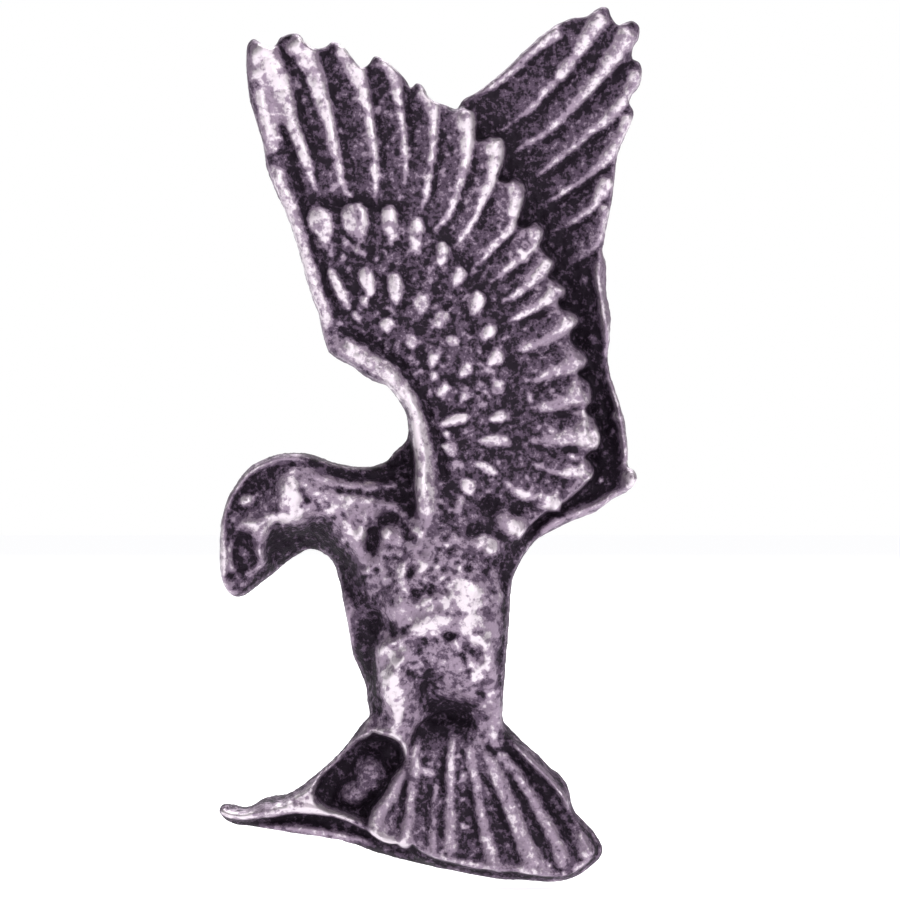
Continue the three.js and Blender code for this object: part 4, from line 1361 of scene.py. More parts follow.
    dabs: tuple[Dab, ...] = (
        Dab(-8.5, -9.9, 1.5, 1.5, -0.16), Dab(-9.05, -10.35, 1.05, 0.95, -0.16),
        Dab(-9.05, -10.35, 0.7, 0.56, 0.6, 20), Dab(-8.6, -10.1, 0.22, 0.22, 0.2),
        Dab(-9.1, -12.7, 1.2, 2.1, -1, 8), Dab(-9.1, -12.9, 0.7, 1.4, 0.5, 12),
        Dab(-9.8, -13.8, 0.45, 0.4, -0.35), Dab(-8, -12.4, 0.6, 1.2, -0.3, 40),
        Dab(-2.7, -10.15, 1.5, 0.62, -0.35), Dab(-3.6, -12.15, 0.75, 1.4, -0.75, -12),
        Dab(-2.95, -11.25, 0.95, 0.75, -0.6), Dab(-3, -11.9, 0.55, 0.55, 0.45),
        Dab(-4.3, -11.5, 0.5, 0.6, -0.25), Dab(-2.2, -11.8, 0.5, 0.8, -0.3, 20),
        Dab(-2.4, -12.75, 0.5, 0.75, -0.2), Dab(-2.4, -12.75, 0.3, 0.5, 0.15),
        Dab(-0.35, -16.15, 0.55, 0.34, -0.4), Dab(-0.5, -14.3, 0.5, 0.35, -0.3),
        Dab(-0.75, -15, 0.4, 0.3, -0.22), Dab(0.9, -14.9, 0.7, 0.9, -0.18), Dab(0.7, -16.9, 1, 0.8, -0.22),
        Dab(-1.9, -17.6, 0.8, 1.2, -0.25, -15), Dab(-1.4, -14.4, 1.3, 0.7, -0.25),
        Dab(0.3, -14.6, 1.5, 1.6, 0.12), Dab(-3.3, -14, 0.6, 1.4, -0.2), Dab(-0.3, -19.9, 1.8, 1.2, -0.2),
        Dab(-1.9, -13.6, 0.35, 0.25, -0.3), Dab(-4, -13.2, 0.3, 0.2, -0.25),
        Dab(-0.2, -12.4, 0.5, 0.35, -0.25), Dab(0.6, -13.2, 0.35, 0.3, -0.25),
        Dab(1.2, -12.5, 0.45, 0.5, -0.3), Dab(-1.5, -12.7, 0.3, 0.4, -0.25),
        Dab(-3.4, -13.4, 0.25, 0.25, -0.2), Dab(-2.9, -14.1, 0.25, 0.35, -0.2),
    )
    # Patches worn bright, and with a negative rise painted shade, as under the neck, in the mouth, in the
    # belly hollow and under the arch above the tail.
    worn_and_shaded: tuple[Dab, ...] = (
        Dab(-4.2, -10.6, 3.4, 1.6, 0.22), Dab(-4.1, -12.6, 1.2, 2.4, 0.2), Dab(-3, -15, 1, 2, 0.1),
        Dab(-3.9, -15.3, 1.3, 3.8, 0.3, 4), Dab(-0.7, -17.7, 1.5, 1.7, -0.35),
        Dab(-0.4, -19.6, 2, 1.2, -0.3), Dab(-6.5, -12.2, 3, 0.9, -0.5, -25), Dab(2.2, -16, 0.5, 5, -0.2),
        Dab(-9.1, -12.7, 1.1, 2, -0.35), Dab(-8.7, -10.4, 1.9, 2, 0.24), Dab(-2.8, -9, 2.4, 1, -0.3),
        Dab(0.7, -12.6, 1.8, 0.7, -0.2),
    )
    plates: tuple[Dab, ...] = (
        Dab(-4.75, -15.3, 0.75, 4.2, 1.6, 3), Dab(-2.3, -15.3, 1.5, 0.9, 1.5),
        Dab(1.55, -17.2, 0.75, 6, 1.6), Dab(-4.3, -12.8, 0.9, 3.6, 1.5, -5),
        Dab(-4.2, -10.7, 2.6, 0.8, 1.4, -10), Dab(-1.7, -12.4, 1.4, 0.8, 1.2),
        Dab(-3.3, -17.7, 0.5, 2.6, 1.5, 6), Dab(-3.2, -13.7, 0.8, 1, 1.2), Dab(-1.6, -11, 0.9, 1.4, 1.1),
        Dab(-7.9, -8.75, 2.2, 0.5, 1.2), Dab(-0.4, -17.4, 1.4, 0.7, 0.9), Dab(1.5, -19.6, 0.8, 2, 1.2),
        Dab(-5.9, -9.3, 1.6, 0.6, 1.1, -12),
    )
    worn: tuple[Dab, ...] = (
        Dab(-0.2, -14.1, 3.6, 1.7, 1, -35), Dab(0.8, -15.2, 1.4, 1.8, 1.1),
        Dab(-0.4, -15.75, 3.2, 0.9, 1.7), Dab(1, -17, 0.9, 2.8, 1.3), Dab(-2.5, -16.9, 1.3, 0.8, 1.3, 35),
        Dab(-2.8, -18.2, 0.7, 3, 1.4, 8), Dab(-1.8, -17.2, 1.4, 1.6, 0.75),
        Dab(-0.9, -14.6, 1.8, 1.2, 0.75), Dab(-7.1, -9.9, 1.1, 2.2, 1.1),
        Dab(-7.9, -11.2, 2.4, 0.7, 0.8, 12), Dab(-1.4, -11.2, 1.2, 1.6, 0.8),
        Dab(-9.05, -10.35, 0.62, 0.5, 2, 20), Dab(-5, -10.5, 2.6, 0.7, 0.5, -12),
        Dab(-4.1, -12.6, 0.6, 2.4, 0.5), Dab(1.4, -19.2, 0.8, 2.4, 0.5),
    )

    def sculpt(self, relief: ReliefMap) -> None:
        """Shapes the head and body on the map.

        Args:
            relief: the map.
        """
        cover = [*self.crown, *self.breast, *self.skirt, *self.flank, (1.6, -10.6)]
        depth = relief.lay(cover, relief.spots(self.head_heights), 0.25)
        relief.shape(*self.ridges, *self.grooves, *self.dabs)
        # Worn bright patches, and painted shade where the rise is negative.
        relief.brighten_and_shade(*self.worn_and_shaded)
        relief.warp(0.14 * smooth_step((-8.0 - relief.z) / 4.0) * (depth > 0), 0.45, Seed.BODY_WARP)
        self._crack(relief, depth)

    def _crack(self, relief: ReliefMap, depth: Array) -> None:
        """Breaks the skin into worn plates with dark cracks and pits between.

        Args:
            relief: the map.
            depth: the signed distance inside the body's outline.
        """
        body = smooth_step(depth / 0.2) * smooth_step((-8.2 - relief.z) / 1.6)
        neck = smooth_step((relief.x + 7.6) / 1.2)
        cracks = smooth_step((0.1 - np.abs(relief.grain(0.2, Seed.CRACKS))) / 0.07)
        where = smooth_step((relief.grain(0.5, Seed.CRACKED_AREAS) + 0.35) / 0.4)
        pits = smooth_step((relief.grain(0.085, Seed.PITS) - 0.5) / 0.2)
        plate = relief.fray(self.plates, Seed.PLATES) * (depth > 0)
        sunk = np.clip(cracks * where + pits * (1 - plate), 0, 1) * body * neck * (1 - 0.6 * plate)
        polish_and_painted_light = np.clip(relief.polish_and_painted_light, -0.3, 1) * (1 - 0.9 * sunk) + 0.28 * body * neck * (1 - sunk)
        polish_and_painted_light += (0.62 - polish_and_painted_light) * plate * (1 - sunk)
        relief.rough *= 1 - 0.85 * plate
        relief.height -= 0.12 * sunk
        relief.polish_and_painted_light = np.where(depth > 0, 0.8 * polish_and_painted_light, relief.polish_and_painted_light)
        relief.wear(self.worn, Seed.BODY_WORN, depth)


@dataclass(frozen=True)
class LegAndFoot:
    """The leg and toes, the hollow beside them, and the thin web below."""

    edge: tuple[Point, ...] = (
        (-4, -20.03), (-4.47, -20.63), (-5, -21.3), (-5.47, -21.77), (-6, -22.23), (-6.47, -22.63),
        (-7, -23.03), (-7.4, -23.23), (-8, -23.29), (-8.47, -23.43), (-9, -23.73), (-9.33, -23.77),
        (-9.8, -23.67), (-10.13, -23.65), (-10.31, -23.83), (-10.2, -24.1), (-9.67, -24.47), (-9, -24.55),
        (-8, -24.7), (-7, -24.87), (-6, -25), (-5, -25.17), (-4.33, -25.37), (-3.67, -25.63), (-3, -25.83),
        (-2, -26.1), (-1, -26.33),
    )
    toes: tuple[Point, ...] = (
        (-2.4, -19.3), (-3.8, -19.75), (-4.47, -20.63), (-5.47, -21.77), (-6.47, -22.63), (-7.4, -23.23),
        (-8.47, -23.43), (-9.33, -23.77), (-10.13, -23.6), (-10.4, -23.85), (-10.1, -24.2), (-9.3, -24.35),
        (-8.4, -24.28), (-7.2, -24.1), (-6, -24.1), (-5, -24.3), (-4.2, -24.75), (-3.7, -24.9),
        (-3.8, -24.3), (-4.7, -23.95), (-5.6, -23.6), (-5.95, -23.2), (-5.9, -22.6), (-5.4, -21.95),
        (-4.9, -21.4), (-4.3, -20.9), (-3.6, -20.55), (-3, -20.3), (-2.3, -20.5),
    )
    lift: tuple[Triple, ...] = (
        (-3, -19.8, 3), (-4.2, -20.7, 2.7), (-5.2, -21.8, 2.55), (-6.3, -22.9, 2.5), (-7.5, -23.6, 2.45),
        (-9, -24, 2.3), (-10.2, -23.9, 2), (-5.5, -23.8, 2.2), (-4, -24.5, 2), (-2.4, -20.3, 2.8),
    )
    ridges: tuple[Stroke, ...] = (
        Stroke(((-3.3, -20.1), (-4.2, -20.75), (-4.95, -21.5), (-5.7, -22.2), (-6.5, -22.95),
                (-7.3, -23.5)), 0.4, 0.3, 0.2),
        Stroke(((-10.15, -23.85), (-9.3, -24.05), (-8.4, -23.9), (-7.3, -23.65), (-6.3, -23.7),
                (-5.4, -23.85), (-4.7, -24.15), (-4.1, -24.5)), 0.38, 0.4, 0.15),
        Stroke(((-9.3, -24.42), (-8, -24.55), (-6.6, -24.7), (-5.2, -24.92), (-4.2, -25.15), (-3.2, -25.5),
                (-1.8, -25.95)), 0.5, 0.4, 0.15),
        Stroke(((-5.6, -22.5), (-5.2, -22.9), (-5.3, -23.4)), 0.25, 0.2, 0.3),
    )
    worn: tuple[Dab, ...] = (
        Dab(-6.6, -23.5, 3.6, 0.9, 1.1, -10), Dab(-8.9, -24.05, 2, 0.45, 1),
        Dab(-5, -24.05, 1.8, 0.4, 1, -22), Dab(-5.2, -21.7, 2.4, 0.5, 0.9, 45),
        Dab(-3.3, -20.6, 1.4, 0.5, 0.8), Dab(-10, -23.9, 0.4, 0.3, 0.9),
    )
    dabs: tuple[Dab, ...] = (
        Dab(-3.65, -22.25, 1.7, 1.8, 1), Dab(-4.5, -23.15, 1.3, 1.1, 0.85),
        Dab(-2.85, -21.2, 0.8, 0.9, 0.4), Dab(-8.1, -23.6, 0.5, 0.3, -0.2),
        Dab(-6.9, -23.35, 0.4, 0.3, -0.2),
    )

    def sculpt(self, relief: ReliefMap) -> None:
        """Shapes the leg on the map.

        Args:
            relief: the map.
        """
        hollow = [*self.edge, (-0.5, -24.0), (-1.5, -20.2), (-3.0, -19.9)]
        relief.lay(hollow, np.full_like(relief.height, 0.85))
        relief.shape(*self.dabs[:3], self.ridges[2])
        depth = relief.lay(self.toes, relief.spots(self.lift), 0.22)
        relief.shape(*self.ridges[:2], *self.dabs[3:])
        # Painted shade darkens the hollow beside the leg.
        relief.brighten_and_shade(Dab(-3.9, -22.6, 3.0, 3.0, -2.3))
        relief.polish_and_painted_light = np.where(depth > 0, 0.6 * relief.polish_and_painted_light, relief.polish_and_painted_light)
        relief.wear(self.worn, Seed.LEG_WORN, depth)


@dataclass(frozen=True)
class TailFan:
    """The spread tail and its feather shafts."""

    edge: tuple[Point, ...] = (
        (-0.33, -26.44), (0.77, -26.66), (2, -26.85), (3, -26.88), (4, -26.96), (4.8, -26.85),
        (5.3, -26.66), (5.8, -26.3), (6.23, -25.86), (6.3, -25.5), (6.04, -24.98), (5.6, -24.46),
        (5.16, -24), (4.98, -23.66), (4.87, -23.07), (4.58, -22.5), (4.06, -22.05), (3.55, -21.53),
        (2.9, -20.95), (2.45, -20.5),
    )
    fan: tuple[Point, ...] = (
        (2, -20), (1.2, -19.6), (0.4, -19.5), (-0.6, -19.6), (-1.4, -19.9), (-2.2, -20.4), (-2.2, -21.2),
        (-2.3, -21.9), (-2.8, -22.6), (-3.3, -23.3), (-3.75, -23.95), (-3.95, -24.6), (-3.55, -25.05),
        (-2.85, -25.3), (-2.1, -25.2), (-1.7, -25.55), (-0.9, -25.95), (0.2, -26.2), (1.4, -26.45),
        (2.6, -26.55), (3.6, -26.7), (4.8, -26.7), (5.4, -26.4), (6, -25.8), (6.1, -25.4), (5.7, -24.7),
        (5, -23.9), (4.7, -23.2), (4.3, -22.6), (3.5, -21.8), (2.7, -21),
    )
    heights: tuple[Triple, ...] = (
        (0, -19.9, 2.2), (-1.7, -21.2, 2.35), (1.6, -20.6, 2.7), (0, -23, 2.2), (-3.3, -24.4, 2.6),
        (-2.4, -25, 2.65), (1, -26.3, 2.25), (3.2, -26.5, 2.4), (5.4, -26.1, 2), (5.9, -25.2, 1.8),
        (4.4, -23.2, 1.8), (3, -21.4, 1.9), (2.3, -20.6, 1.9), (2.5, -24, 2.2),
    )
    feathers: tuple[Feather, ...] = (
        Feather(((-2.2, -21.9), (-2.6, -22.7), (-3.1, -23.45), (-3.45, -24.15), (-3.4, -24.8)), 0.62),
        Feather(((-1.65, -20.4), (-1.75, -21.8), (-1.9, -22.6), (-2, -23.5), (-2.1, -24.3),
                 (-2.3, -25.2)), 0.56),
        Feather(((-0.95, -22.6), (-1, -23.6), (-1.05, -24.6), (-1, -25.5)), 0.3),
        Feather(((-0.2, -20.3), (-0.25, -21.5), (-0.3, -22.5), (-0.33, -23.5), (-0.3, -24.6),
                 (-0.2, -25.7)), 0.52),
        Feather(((0.5, -20.9), (0.65, -21.8), (0.85, -22.8), (1, -23.6), (1.15, -24.5), (1.45, -25.6),
                 (1.65, -26.35)), 0.55),
        Feather(((1.2, -21.2), (1.6, -22), (2, -22.9), (2.35, -23.8), (2.75, -24.8), (3.1, -25.7),
                 (3.3, -26.4)), 0.78),
        Feather(((2, -21.4), (2.7, -22.4), (3.3, -23.4), (3.8, -24.3), (4.25, -25.2), (4.7, -26.3)), 0.56),
        Feather(((3.3, -22.2), (4.2, -23.4), (4.7, -24.2), (5.2, -25), (5.7, -25.9)), 0.5),
    )
    ridges: tuple[Stroke, ...] = (
        Stroke(((-3.75, -24.5), (-3.4, -24.95), (-2.8, -25.15), (-2.2, -25.05)), 0.45, 0.4, 0.2),
        Stroke(((-1.9, -25.4), (-1.2, -25.75), (0, -26.05), (1.4, -26.3), (2.8, -26.42),
                (4.2, -26.5)), 0.45, 0.22, 0.1),
        Stroke(((2.3, -20.8), (2.9, -21.3), (3.6, -21.95), (4.15, -22.55), (4.6, -23.2),
                (4.8, -23.8)), 0.32, 0.95, 0.12),
        Stroke(((5.95, -25.9), (5.6, -25.2), (5.2, -24.5)), 0.3, 0.3, 0.3),
        Stroke(((2.5, -26.45), (3.2, -26.45), (3.7, -26.35)), 0.35, 0.15, 0.3),
        Stroke(((3.6, -26.65), (4.2, -26.8), (5, -26.72)), 0.2, 0.25, 0.2),
    )
    worn: tuple[Dab, ...] = (
        Dab(-3, -25, 1.6, 0.55, 1.6, -12), Dab(0.4, -26.05, 2.8, 0.35, 0.9, -10),
        Dab(3.1, -26.4, 1.5, 0.5, 1, -8), Dab(4.9, -26.5, 1, 0.5, 0.9, 10), Dab(-0.22, -21.5, 0.3, 2, 0.85),
        Dab(0.75, -22, 0.35, 1.8, 0.8, 12), Dab(-1.72, -21.4, 0.3, 1.6, 0.85),
        Dab(5.75, -26, 0.5, 0.5, 0.9), Dab(2.6, -22.4, 0.3, 1.4, 0.8, 35),
    )
    grooves: tuple[Stroke, ...] = (
        Stroke(((2.1, -20.8), (2.9, -21.8), (3.8, -22.9), (4.6, -24.1), (5.4, -25.4)), 0.55, -0.3, 0.15),
        Stroke(((-1.1, -20.1), (-0.6, -19.75), (0.1, -19.7), (0.7, -20)), 0.6, -0.25, 0.15),
    )

    def sculpt(self, relief: ReliefMap, ribs: RibMaker, metal: Metal) -> None:
        """Shapes the tail on the map.

        Args:
            relief: the map.
            ribs: what makes its feather shafts.
            metal: the finish.
        """
        backing = [*self.edge, (2.0, -20.0), (-1.0, -20.5), (-2.6, -23.0), (-2.0, -25.9)]
        relief.lay(backing, np.full_like(relief.height, 1.35))
        depth = relief.lay(self.fan, relief.spots(self.heights), 0.14)
        vanes(relief, self.feathers[:2], 0.5, -0.1, 0.0)
        vanes(relief, self.feathers[1:], 0.6, 0.1, 0.24)
        relief.shape(*self.grooves)
        relief.press(ribs.make(self.feathers, relief, 0.3, metal))
        relief.shape(*self.ridges)
        relief.polish_and_painted_light = np.where(depth > 0, 0.47 * relief.polish_and_painted_light, relief.polish_and_painted_light)
        relief.wear(self.worn, Seed.TAIL_WORN, depth)


# ---- Meshes --------------------------------------------------------------------------------


def mesh_object(name: str, points: Array, faces: Sequence[Sequence[int]],
                metal: Metal) -> Piece:
    """Makes a smooth-shaded object from points in millimetres.

    Args:
        name: the piece's name.
        points: rows of x, y and z.
        faces: corner numbers of each face.
        metal: the finish.
    Returns:
        The object, at the origin.
    """
    mesh = bpy.data.meshes.new(name)
    mesh.from_pydata((np.asarray(points) * MM).tolist(), [], [list(f) for f in faces])
    mesh.polygons.foreach_set("use_smooth", np.ones(len(mesh.polygons), bool))
    mesh.materials.append(metal)
    mesh.update()
    return linked(name, mesh)


def facing_out(piece: Piece) -> Piece:
    """Turns every face of a closed piece outwards, and gives the piece back.

    Args:
        piece: the closed piece.
    Returns:
        The same piece.
    """
    shape = bmesh.new()
    shape.from_mesh(piece.data)
    bmesh.ops.remove_doubles(shape, verts=shape.verts, dist=1e-7)
    bmesh.ops.recalc_face_normals(shape, faces=shape.faces)
    shape.to_mesh(piece.data)
    shape.free()
    return piece


@dataclass
class EagleCasting:
    """The whole bird, which is one casting with a flat back."""

    pitch: float = 0.062
    corners: tuple[Point, Point] = ((-11.0, -27.6), (8.7, 11.7))
    top: float = 4.4
    give: float = 0.42
    # Where the painted highlight along the rim peaks inside the silhouette, and how wide it is.
    painted_highlight_depth: float = 0.06
    painted_highlight_width: float = 0.17
    wall: tuple[float, ...] = (0.8, 0.55, 0.3, 0.12)
    wall_wander: float = 0.04
    back_draft: float = 0.05
    back_lattice: float = 0.7
    front_wing: FrontWing = FrontWing()
    rear_wing: RearWing = RearWing()
    body: HeadAndBody = HeadAndBody()
    leg: LegAndFoot = LegAndFoot()
    tail: TailFan = TailFan()

    def __post_init__(self) -> None:
        """Sets up the map."""
        self.relief = ReliefMap(*self.corners, self.pitch)

    def silhouette(self) -> list[Point]:
        """The outer edge, anticlockwise from the wrist of the near wing.

        Returns:
            The outline's points.
        """
        body = self.body
        return [*self.front_wing.edge, *self.rear_wing.edge, *reversed(body.flank),
                *reversed(self.tail.edge), *reversed(self.leg.edge), *reversed(body.breast),
                *reversed(body.crown), *self.front_wing.root[-3:]]

    def sculpt(self, metal: Metal) -> None:
        """Shapes every sub-assembly on the map, from the back to the front.

        Args:
            metal: the finish of what is pressed in.
        """
        ribs, pads = RibMaker(), PadMaker()
        relief = self.relief
        self.rear_wing.sculpt(relief, ribs, metal)
        self.leg.sculpt(relief)
        self.tail.sculpt(relief, RibMaker(BAR), metal)
        self.body.sculpt(relief)
        self.front_wing.sculpt(relief, ribs, pads, metal)

    def _weather_and_paint_rim_highlight(self) -> Array:
        """Softens the casting, grains it, breaks up where it is worn bright and paints a highlight along
        the silhouette's rim.

        Returns:
            How near each place is to the silhouette's rim, where the highlight is painted, 0 to 1.
        """
        relief = self.relief
        relief.warp(0.045, 0.35, Seed.WARP)
        relief.height = relief.blur(relief.height, 0.045)
        relief.polish_and_painted_light *= 0.35 + 0.65 * smooth_step((relief.grain(0.12, Seed.RUBBING) + 1.1) / 0.6)
        over = np.maximum(relief.height - self.top, 0)
        relief.height -= over - self.give * np.tanh(over / self.give)
        low = relief.height - relief.blur(relief.height, 0.45)
        hollow = smooth_step((0.08 - low) / 0.24)
        texture = (0.6 * relief.grain(0.07, Seed.FINE_GRAIN)
                   + 0.7 * relief.grain(0.15, Seed.COARSE_GRAIN))
        depth = relief.inside(self.silhouette(), 0.6)
        # A painted highlight along the silhouette's rim stands in for rim light, with a little edge wear.
        rim = (np.exp(-((depth - self.painted_highlight_depth) / self.painted_highlight_width) ** 2)
               * smooth_step((relief.height - 0.9) / 0.5))
        relief.polish_and_painted_light = np.maximum(relief.polish_and_painted_light, 0.7 * rim)
        dull = 1 - 0.75 * np.clip(relief.blur(relief.polish_and_painted_light, 0.05), 0, 1)
        relief.height += texture * (0.016 + 0.04 * hollow) * dull
        relief.rough *= np.clip(dull * (0.55 + 0.6 * hollow), 0, 1)
        return rim

    def _crest(self, rim: Array) -> Array:
        """How exposed each place is, from 0 in a recess to 1 on a ridge top, plus worn brightness and
        painted light, given the rim.

        Args:
            rim: how near each place is to the rim, where the highlight is painted, 0 to 1.
        Returns:
            The share at each place.
        """
        relief = self.relief
        fine, middle, broad = (relief.height - relief.blur(relief.height, size)
                               for size in (0.2, 0.6, 1.8))
        # Near the rim the recess darkening is held back, as part of the painted rim highlight.
        sunk = 1 - 0.8 * rim
        crest = (0.20 + np.clip(1.4 * fine, -0.25 * sunk, 0.09)
                 + np.clip(0.8 * middle, -0.35 * sunk, 0.1)
                 + np.clip(0.12 * broad, -0.2 * sunk, 0.12) + 0.46 * relief.blur(relief.polish_and_painted_light, 0.03))
        return np.maximum(crest, 0.02)

    def _front(self, loop: Array, depth: Array) -> tuple[Array, Array, list[tuple[int, ...]]]:
        """Lays a staggered lattice inside the outline and lifts it to the relief.

        Args:
            loop: the outline.
            depth: the map's signed distance inside it.
        Returns:
            The places as rows of x and z, their heights, and the triangles.
        """
        relief = self.relief
        step = 1.23 * self.pitch
        rows = np.arange(relief.low[1], relief.z.max(), step * math.sqrt(0.75))
        columns = np.arange(relief.low[0], relief.x.max(), step)
        across, up = np.meshgrid(columns, rows)
        across[1::2] += step / 2
        grid = np.column_stack([across.ravel(), up.ravel()])
        front, faces = triangulated(loop, grid[relief.sample(depth, grid) > 0.6 * step])
        edge = smooth_step(relief.sample(depth, front) / 0.22 * 0.5 + 0.5) * 2 - 1
        heights = relief.sample(relief.spread(relief.height), front)
        return front, heights * (1 - 0.22 * (1 - np.clip(edge, 0, 1)) ** 2), faces

    def skin(self, metal: Metal) -> Piece:
        """Makes the closed mesh: front, wall and flat back.

        Args:
            metal: the finish.
        Returns:
            The casting.
        """
        relief = self.relief
        crest = self._crest(self._weather_and_paint_rim_highlight())
        outline = self.silhouette()
        loop = through(outline, True, 1.15 * self.pitch)
        if polygon_area(loop) < 0:
            loop = loop[::-1]
        depth = relief.inside(outline, 0.6)
        front, heights, all_faces = self._front(loop, depth)
        count, first, levels = len(loop), len(front), len(self.wall)
        points = [np.column_stack([front[:, 0], -heights, front[:, 1]])]
        wander = np.random.default_rng(int(Seed.WALL)).standard_normal((levels, count))
        outward = loop_outward(loop)
        for share, shift in zip(self.wall, wander):
            soft = np.convolve(np.tile(shift, 3), np.ones(7) / 7, "same")[count:2 * count, None]
            ring = loop + outward * (0.012 + self.wall_wander * soft)
            points.append(np.column_stack([ring[:, 0], -heights[:count] * share, ring[:, 1]]))
        base = loop - outward * self.back_draft
        points.append(np.column_stack([base[:, 0], np.zeros(count), base[:, 1]]))
        rings = [np.arange(count)]
        rings += [first + k * count + np.arange(count) for k in range(levels + 1)]
        for upper, lower in zip(rings[:-1], rings[1:]):
            corners = upper, lower, np.roll(lower, -1), np.roll(upper, -1)
            all_faces += list(zip(*(ring.tolist() for ring in corners)))
        coarse = np.mgrid[-11:9:self.back_lattice, -27.5:11.5:self.back_lattice].reshape(2, -1).T
        back, back_faces = triangulated(base, coarse[relief.sample(depth, coarse) > 0.35])
        extra = back[count:]
        points.append(np.column_stack([extra[:, 0], np.zeros(len(extra)), extra[:, 1]]))
        start = first + levels * count
        all_faces += [tuple(start + i for i in f[::-1]) for f in back_faces]
        casting = facing_out(mesh_object("eagle_casting_cast", np.vstack(points), all_faces, metal))
        # Stores the tone, with its painted shade and painted rim highlight, and the roughness on the
        # front's points.
        for name, values in (("crest", crest), ("rough", relief.rough)):
            self._store(casting, name, relief.sample(relief.spread(values), front))
        return casting

    @staticmethod
    def _store(casting: Piece, name: str, values: Array, wall: float = 0.25) -> None:
        """Stores an attribute on the casting's points.

        Args:
            casting: the casting, whose first points are its front's.
            name: the attribute's name.
            values: its values on the front.
            wall: its value on the wall and the back.
        """
        rest = np.full(len(casting.data.vertices) - len(values), wall)
        attribute = casting.data.attributes.new(name, "FLOAT", "POINT")
        attribute.data.foreach_set("value", np.concatenate([values, rest]).astype(np.float32))


def polygon_area(loop: Array) -> float:
    """A loop's signed area, positive where it runs anticlockwise."""
    following = np.roll(loop, -1, axis=0)
    return float(np.sum(loop[:, 0] * following[:, 1] - following[:, 0] * loop[:, 1]) / 2)


def loop_outward(loop: Array) -> Array:
    """Unit vectors that point out of an anticlockwise loop.

    Args:
        loop: the loop, as rows of x and z.
    Returns:
        One vector for each point.
    """
    run = np.roll(loop, -2, axis=0) - np.roll(loop, 2, axis=0)
    run /= np.maximum(np.linalg.norm(run, axis=1, keepdims=True), 1e-9)
    return np.column_stack([run[:, 1], -run[:, 0]])


def loop_inset(loop: Array, distance: float) -> Array:
    """A loop moved inwards a little."""
    return loop - loop_outward(loop) * distance


def triangulated(loop: Array, inner: Array) -> tuple[Array, list[tuple[int, ...]]]:
    """Fills a loop with triangles through inner points.

    Args:
        loop: the outline, whose points come first in the result.
        inner: points inside it.
    Returns:
        The points, and the triangles.
    """
    places = [Vector(p) for p in np.vstack([loop, inner]).tolist()]
    made = delaunay_2d_cdt(places, [], [list(range(len(loop)))], 1, 1e-6)
    if len(made[0]) != len(places):
        raise ValueError("the triangulation merged or added points")
    return np.array([tuple(p) for p in made[0]]), [tuple(f) for f in made[2]]


# ---- The post and the clutch ---------------------------------------------------------------


def filleted(points: Sequence[Point], radius: float, closed: bool = False) -> list[Point]:
    """Rounds a path's corners.

    Args:
        points: the corners.
        radius: how far from each corner the rounding starts.
        closed: whether the last point joins the first.
    Returns:
        The path with each corner replaced by a short curve.
    """
    corners = [np.array(p, float) for p in points]
    count = len(corners)
    made: list[Point] = []
    for i, corner in enumerate(corners):
        if not closed and i in (0, count - 1):
            made.append((float(corner[0]), float(corner[1])))
            continue
        before, after = corners[i - 1] - corner, corners[(i + 1) % count] - corner
        sizes = np.linalg.norm(before), np.linalg.norm(after)
        reach = min(radius, 0.45 * sizes[0], 0.45 * sizes[1])
        start, end = corner + before / sizes[0] * reach, corner + after / sizes[1] * reach
        for t in (0.0, 0.25, 0.5, 0.75, 1.0):
            spot = (1 - t) ** 2 * start + 2 * t * (1 - t) * corner + t ** 2 * end
            made.append((float(spot[0]), float(spot[1])))
    return made


def revolved(profile: Sequence[Point], facets: int, wander: float = 0.0) -> Shell:
    """Turns a closed profile about the Y axis.

    Args:
        profile: radius and y of each corner; a radius of 0 is a pole.
        facets: how many steps make the turn.
        wander: how unevenly the radius and height run round, as a share.
    Returns:
        Points and faces.
    """
    angles = np.arange(facets) * 2 * math.pi / facets
    uneven = 1 + wander * (0.6 * np.sin(3 * angles + 0.7) + 0.5 * np.sin(7 * angles + 2.1)
                           + 0.4 * np.sin(12 * angles))
    points: list[Triple] = []
    rings: list[list[int]] = []
    inner = min(r for r, _ in profile)
    for radius, y in profile:
        start = len(points)
        if radius < 1e-6:
            points.append((0.0, y, 0.0))
            rings.append([start] * facets)
            continue
        spread = inner + (radius - inner) * uneven
        level = y * (1 + (uneven - 1) * 0.6)
        points += list(zip(spread * np.cos(angles), level, spread * np.sin(angles)))
        rings.append(list(range(start, start + facets)))
    faces: list[tuple[int, ...]] = []
    pairs = list(zip(rings[:-1], rings[1:]))
    if profile[0][0] > 1e-6:
        pairs.append((rings[-1], rings[0]))
    for low, high in pairs:
        for i in range(facets):
            j = (i + 1) % facets
            corners = dict.fromkeys((low[i], low[j], high[j], high[i]))
            if len(corners) > 2:
                faces.append(tuple(corners))
    return np.array(points), faces


def within(loop: Array, places: Array) -> Array:
    """Which places lie inside a loop.

    Args:
        loop: the loop, as rows of x and z.
        places: the places, as rows of x and z.
    Returns:
        True for each place inside.
    """
    following = np.roll(loop, -1, axis=0)
    count = np.zeros(len(places), int)
    for (x0, z0), (x1, z1) in zip(loop, following):
        across = (places[:, 1] >= min(z0, z1)) & (places[:, 1] < max(z0, z1))
        at = x0 + (places[:, 1] - z0) * (x1 - x0) / (z1 - z0 if z1 != z0 else 1.0)
        count += across & (at > places[:, 0])
    return count % 2 == 1


